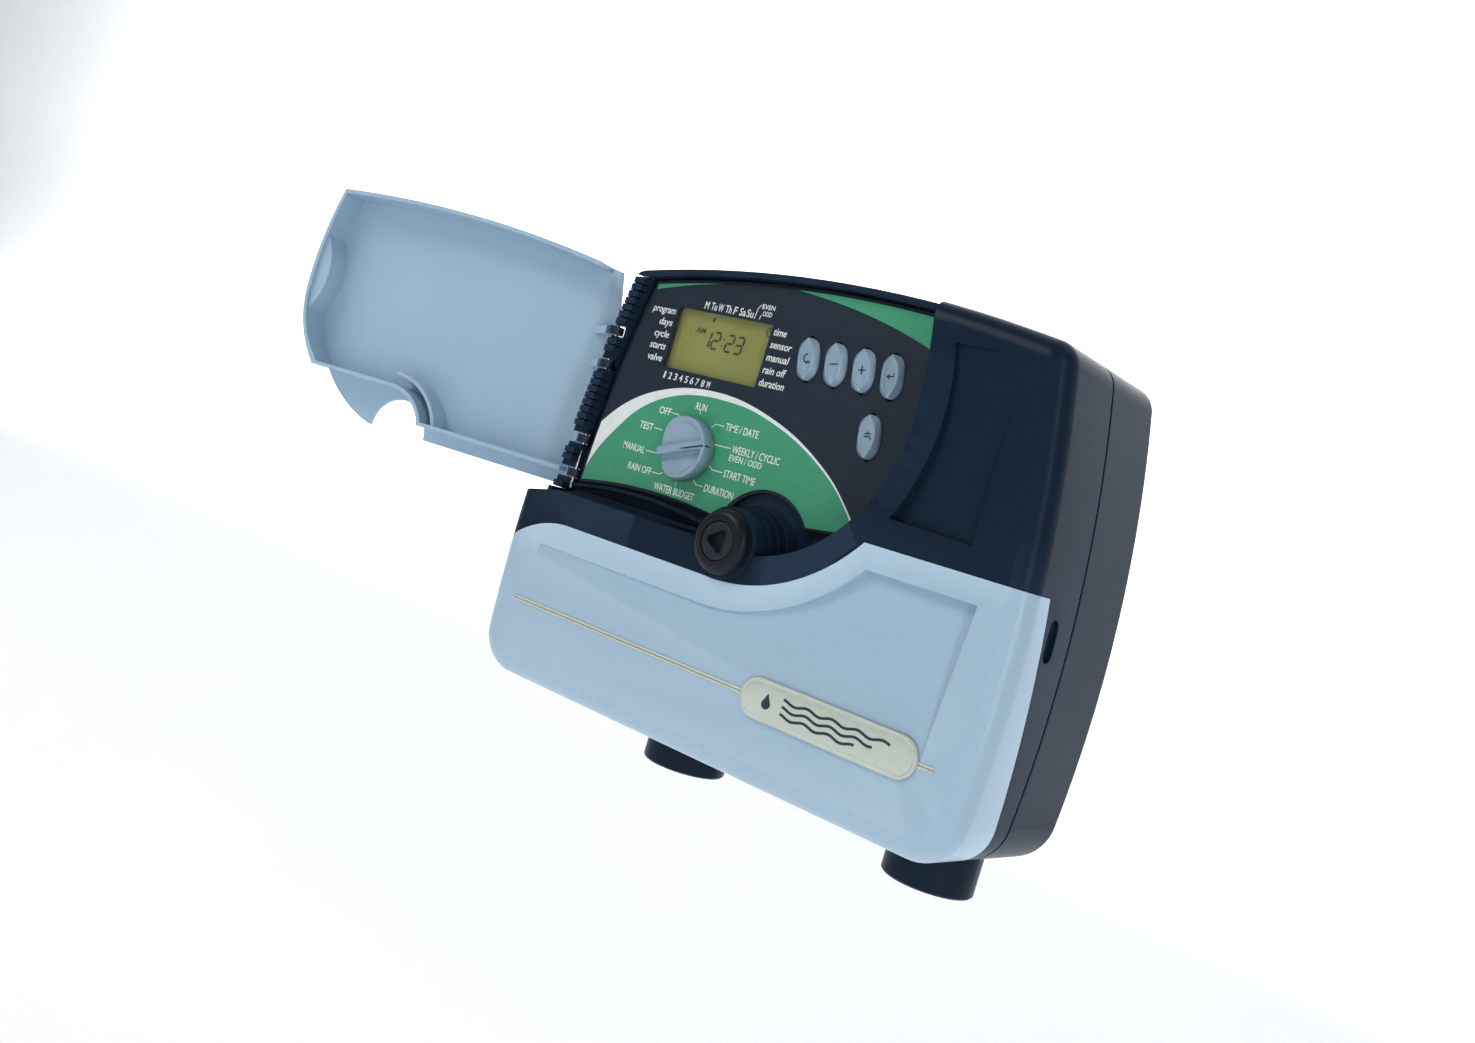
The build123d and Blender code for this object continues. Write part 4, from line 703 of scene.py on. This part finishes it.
def knob_top(u, v):
    """Height of the knob's front face; u runs along the pointer and v across it."""
    reach = abs(v)
    lower = v < 0
    wall = ease((reach - BAR_HALF + (0.1 if lower else 0.5)) / (0.7 if lower else 2.2))
    slope = max(1 - (reach - BAR_HALF) / (KNOB_TOP_R - BAR_HALF - 0.7), 0.0) ** 0.85
    reach_out = (u * u + v * v) ** 0.5
    closed = ease((KNOB_TOP_R - 0.9 - reach_out) / 1.5)
    end = 1 - (1 - closed) * ease((u + 4.0) / 5.0)
    dome = 0.3 * (u * u + v * v) / KNOB_TOP_R ** 2
    left_drop = 0.9 * ease((-u - 3.0) / 9.0)
    return KNOB_FACE - dome - left_drop * (1 - 0.4 * wall) - SCOOP * wall * slope * end


def knob():
    """The selector's cap: its carved front, a rounded edge and a side that widens to the foot."""
    rows = sorted({round(KNOB_TOP_R * sin(radians(a)), 3) for a in range(-88, 89, 3)}
                  | {round(side * (BAR_HALF + step), 3) for side in (-1, 1) for step in BAR_STEPS})
    columns = [sin(radians(a)) for a in range(-90, 91, 2)]
    bm = bmesh.new()

    def spot(u, v, depth):
        return bm.verts.new(((KNOB_X + u * cos(POINTER) - v * sin(POINTER)) * MM, -depth * MM,
                             (KNOB_Z + u * sin(POINTER) + v * cos(POINTER)) * MM))

    grid = []
    for v in rows:
        half = (KNOB_TOP_R ** 2 - v * v) ** 0.5
        grid.append([spot(half * t, v, knob_top(half * t, v)) for t in columns])
    for a, b in zip(grid, grid[1:]):
        for i in range(len(columns) - 1):
            bm.faces.new((a[i], a[i + 1], b[i + 1], b[i]))
    rim = grid[0][:] + [row[-1] for row in grid[1:]] + grid[-1][-2::-1] + [row[0] for row in grid[-2:0:-1]]
    previous = rim
    spokes = []
    for vert in rim:
        x, z = vert.co.x / MM - KNOB_X, vert.co.z / MM - KNOB_Z
        spokes.append((x / (x * x + z * z) ** 0.5, z / (x * x + z * z) ** 0.5, -vert.co.y / MM))
    for grow, drop in ((0.16, 0.05), (0.28, 0.22), (0.34, 0.5), (None, 0)):
        ring = []
        for x, z, top in spokes:
            r, depth = (KNOB_TOP_R + grow, top - drop) if grow else (KNOB_R - 0.02, KNOB_FOOT)
            ring.append(bm.verts.new(((KNOB_X + x * r) * MM, -depth * MM, (KNOB_Z + z * r) * MM)))
        for i in range(len(rim)):
            j = (i + 1) % len(rim)
            bm.faces.new((previous[i], previous[j], ring[j], ring[i]))
        previous = ring
    bm.faces.new(previous)
    bmesh.ops.remove_doubles(bm, verts=bm.verts, dist=1e-6)
    bmesh.ops.recalc_face_normals(bm, faces=bm.faces)
    for f in bm.faces:
        f.smooth = len(f.verts) < 8
    mesh = bpy.data.meshes.new("knob")
    bm.to_mesh(mesh)
    bm.free()
    return mesh


knob_body = put("knob_cap", knob(), MATERIALS["key_plastic"], "selector")
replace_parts(knob_body, "selector_knob")


def pointer_slit_shade():
    """Painted shadow: a dark strip standing in for the shade of the slit along the pointer's lower edge, and
    down the knob's side.
    """
    bm = bmesh.new()
    pairs = []
    for k in range(27):
        u = 0.5 + (KNOB_TOP_R - 0.55) * k / 26
        half = 0.12 + 0.22 * ease(k / 8)
        depth = knob_top(u, LINE_V) + 0.07
        pairs.append([(u, LINE_V + half, depth), (u, LINE_V - half, depth)])
    high, low = LINE_V + LINE_HALF, LINE_V - LINE_HALF
    edge, side = KNOB_TOP_R + 0.38, KNOB_FOOT + 1.2
    pairs.append([(edge, high, KNOB_FACE - 0.9), (edge, low, KNOB_FACE - 0.9)])
    pairs.append([(KNOB_R - 0.28, high, side), (KNOB_R - 0.2, low, side)])
    rows = []
    for pair in pairs:
        rows.append([bm.verts.new(((KNOB_X + u * cos(POINTER) - w * sin(POINTER)) * MM, -depth * MM,
                                   (KNOB_Z + u * sin(POINTER) + w * cos(POINTER)) * MM))
                     for u, w, depth in pair])
    for a, b in zip(rows, rows[1:]):
        bm.faces.new((a[0], a[1], b[1], b[0]))
    mesh = bpy.data.meshes.new("pointer")
    bm.to_mesh(mesh)
    bm.free()
    return mesh


# painted shadow: dark strip for the slit along the pointer
put("knob_pointer_slit_shade", pointer_slit_shade(), DARK_MARK_AND_SLIT_SHADE, "selector")

# ------------------------------------------------------------------ badge
BADGE_LOW, BADGE_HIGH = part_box("badge")
BADGE_X, BADGE_Z = (BADGE_LOW.x + BADGE_HIGH.x) / 2 / MM, (BADGE_LOW.z + BADGE_HIGH.z) / 2 / MM
BADGE_FACE, BADGE_BACK = -BADGE_LOW.y / MM, -BADGE_HIGH.y / MM


def long_oval(grow, count=16):
    """Outline of the badge, with straight sides and round ends, moved outward by grow."""
    half = (BADGE_HIGH.x - BADGE_LOW.x) / 2 / MM
    r = (BADGE_HIGH.z - BADGE_LOW.z) / 2 / MM
    out = []
    for side, first in ((1, -90), (-1, 90)):
        for k in range(count + 1):
            a = radians(first + 180 * k / count)
            out.append((side * (half - r) + (r + grow) * cos(a), (r + grow) * sin(a)))
    return out


BADGE_RINGS = ((0, BADGE_BACK), (0, BADGE_FACE - 0.9), (-0.25, BADGE_FACE - 0.35), (-0.6, BADGE_FACE - 0.05),
               (-1.0, BADGE_FACE - 0.05), (-1.2, BADGE_FACE - 0.35), (-1.45, BADGE_FACE - 0.35),
               (-1.8, BADGE_FACE - 0.18), (-3.0, BADGE_FACE - 0.08), (-5.5, BADGE_FACE - 0.02))
plate = lofted([(long_oval(grow), depth) for grow, depth in BADGE_RINGS], BADGE_X, BADGE_Z, 0.0)
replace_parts(put("badge_plate", plate, MATERIALS["cream_plastic"], "cover"), "badge")
EMBLEM = BADGE_FACE - 0.04
DROP_X, DROP_R, DROP_TIP = -24, 1.9, 1.6
WAVE_LEFT, WAVE_W, WAVE_PITCH, WAVE_SWING, WAVE_RATE = -17.5, 0.95, 2.5, 0.55, 0.62


def drop(a):
    """A point of the water drop's outline at angle a from its tip."""
    up = max(cos(a), 0)
    return DROP_R * sin(a) * (1 - 0.5 * up ** 1.5), DROP_R * cos(a) - 0.6 + DROP_TIP * up ** 4


def wave(stop, z):
    """A water line from the drop to stop, at height z on the badge."""
    run = [WAVE_LEFT + (stop - WAVE_LEFT) * k / 60 for k in range(61)]
    return [(BADGE_X + x, BADGE_Z + z + WAVE_SWING * sin(x * WAVE_RATE)) for x in run]


outline = [drop(radians(a)) for a in range(0, 360, 12)]
emblem = [prism([(BADGE_X + DROP_X + x, BADGE_Z + z) for x, z in outline], EMBLEM + 0.03, EMBLEM - 0.25)]
for i, stop in enumerate((25.5, 19.5, 13.0)):
    emblem.append(stroke(wave(stop, WAVE_PITCH * (1 - i)), WAVE_W, EMBLEM - 0.1, 0.26))
put("badge_emblem", joined(emblem), DARK_MARK_AND_SLIT_SHADE, "cover")

# ------------------------------------------------------------------ studio
FLOOR_Z = -0.30


def pale_floor():
    bm = bmesh.new()
    profile = [(-6.0, 0.0), (2.2, 0.0)]
    for k in range(1, 13):
        a = radians(90 * k / 12)
        profile.append((2.2 + 1.4 * sin(a), 1.4 * (1 - cos(a))))
    profile.append((3.6, 10.0))
    rows = []
    for x in (-14.0, -6.0, 0.0, 6.0, 14.0):
        rows.append([bm.verts.new((x, y, z + FLOOR_Z)) for y, z in profile])
    for a, b in zip(rows, rows[1:]):
        for i in range(len(profile) - 1):
            bm.faces.new((a[i], b[i], b[i + 1], a[i + 1]))
    mesh = bpy.data.meshes.new("floor")
    bm.to_mesh(mesh)
    bm.free()
    for p in mesh.polygons:
        p.use_smooth = True
    floor = bpy.data.objects.new("floor", mesh)
    bpy.context.scene.collection.objects.link(floor)
    n = Nodes("pale_floor")
    n.link(n.ramp(n.noise(3.0), [(0.3, (0.90, 0.92, 0.94)), (0.7, (0.92, 0.94, 0.96))]),
           n.shader.inputs["Base Color"])
    n.set(Roughness=0.8, Specular_IOR_Level=0.1, Emission_Color=(1.0, 1.0, 1.0, 1.0), Emission_Strength=0.26)
    dress(floor, n.material)


def soft_light(name, place, aim, size, power, colour):
    data = bpy.data.lights.new(name, "AREA")
    data.shape = "RECTANGLE"
    data.size, data.size_y = size
    data.energy = power
    data.color = colour
    lamp = bpy.data.objects.new(name, data)
    lamp.location = place
    lamp.rotation_mode = "QUATERNION"
    lamp.rotation_quaternion = (Vector(aim) - Vector(place)).to_track_quat("-Z", "Y")
    bpy.context.scene.collection.objects.link(lamp)


pale_floor()
soft_light("key", (-0.9, -1.5, 1.5), (0, 0, 0), (1.3, 1.0), 19, (1.0, 0.985, 0.97))
soft_light("front_fill", (0.5, -2.2, 0.2), (0, 0, 0), (1.4, 1.4), 2.5, (0.90, 0.95, 1.0))
soft_light("right_strip", (1.15, -0.75, 0.35), (0.1, 0, 0), (0.16, 1.3), 5, (0.94, 0.98, 1.0))
soft_light("top", (0.0, 0.5, 1.8), (0, 0, 0), (1.8, 1.0), 4, (0.96, 0.98, 1.0))
soft_light("backdrop_near", (-1.4, 1.0, 1.2), (-1.2, 3.6, 1.2), (1.6, 2.0), 110, (1.0, 1.0, 1.0))
soft_light("backdrop_far", (-4.8, 0.6, 1.4), (-5.0, 3.6, 1.4), (2.4, 2.0), 230, (1.0, 1.0, 1.0))

world = bpy.data.worlds.new("studio")
bpy.context.scene.world = world
world.use_nodes = True
world.node_tree.nodes["Background"].inputs["Color"].default_value = (0.84, 0.92, 1.0, 1.0)
world.node_tree.nodes["Background"].inputs["Strength"].default_value = 0.16

camera_data = bpy.data.cameras.new("camera")
camera_data.lens = 33.504
camera_data.sensor_width = 36
camera_data.clip_start = 0.01
camera = bpy.data.objects.new("camera", camera_data)
bpy.context.scene.collection.objects.link(camera)
RIGHT = Vector((0.75234737, 0.59287246, 0.28718579))
UP = Vector((-0.24005295, -0.15923971, 0.9576102))
FORWARD = Vector((-0.6134721, 0.78939531, -0.02251721))
turned = Matrix((RIGHT, UP, -FORWARD)).transposed().to_4x4()
camera.matrix_world = Matrix.Translation((0.29169, -0.45315, 0.00708)) @ turned
bpy.context.scene.camera = camera
bpy.context.scene.view_settings.view_transform = "Standard"

bpy.context.view_layer.update()
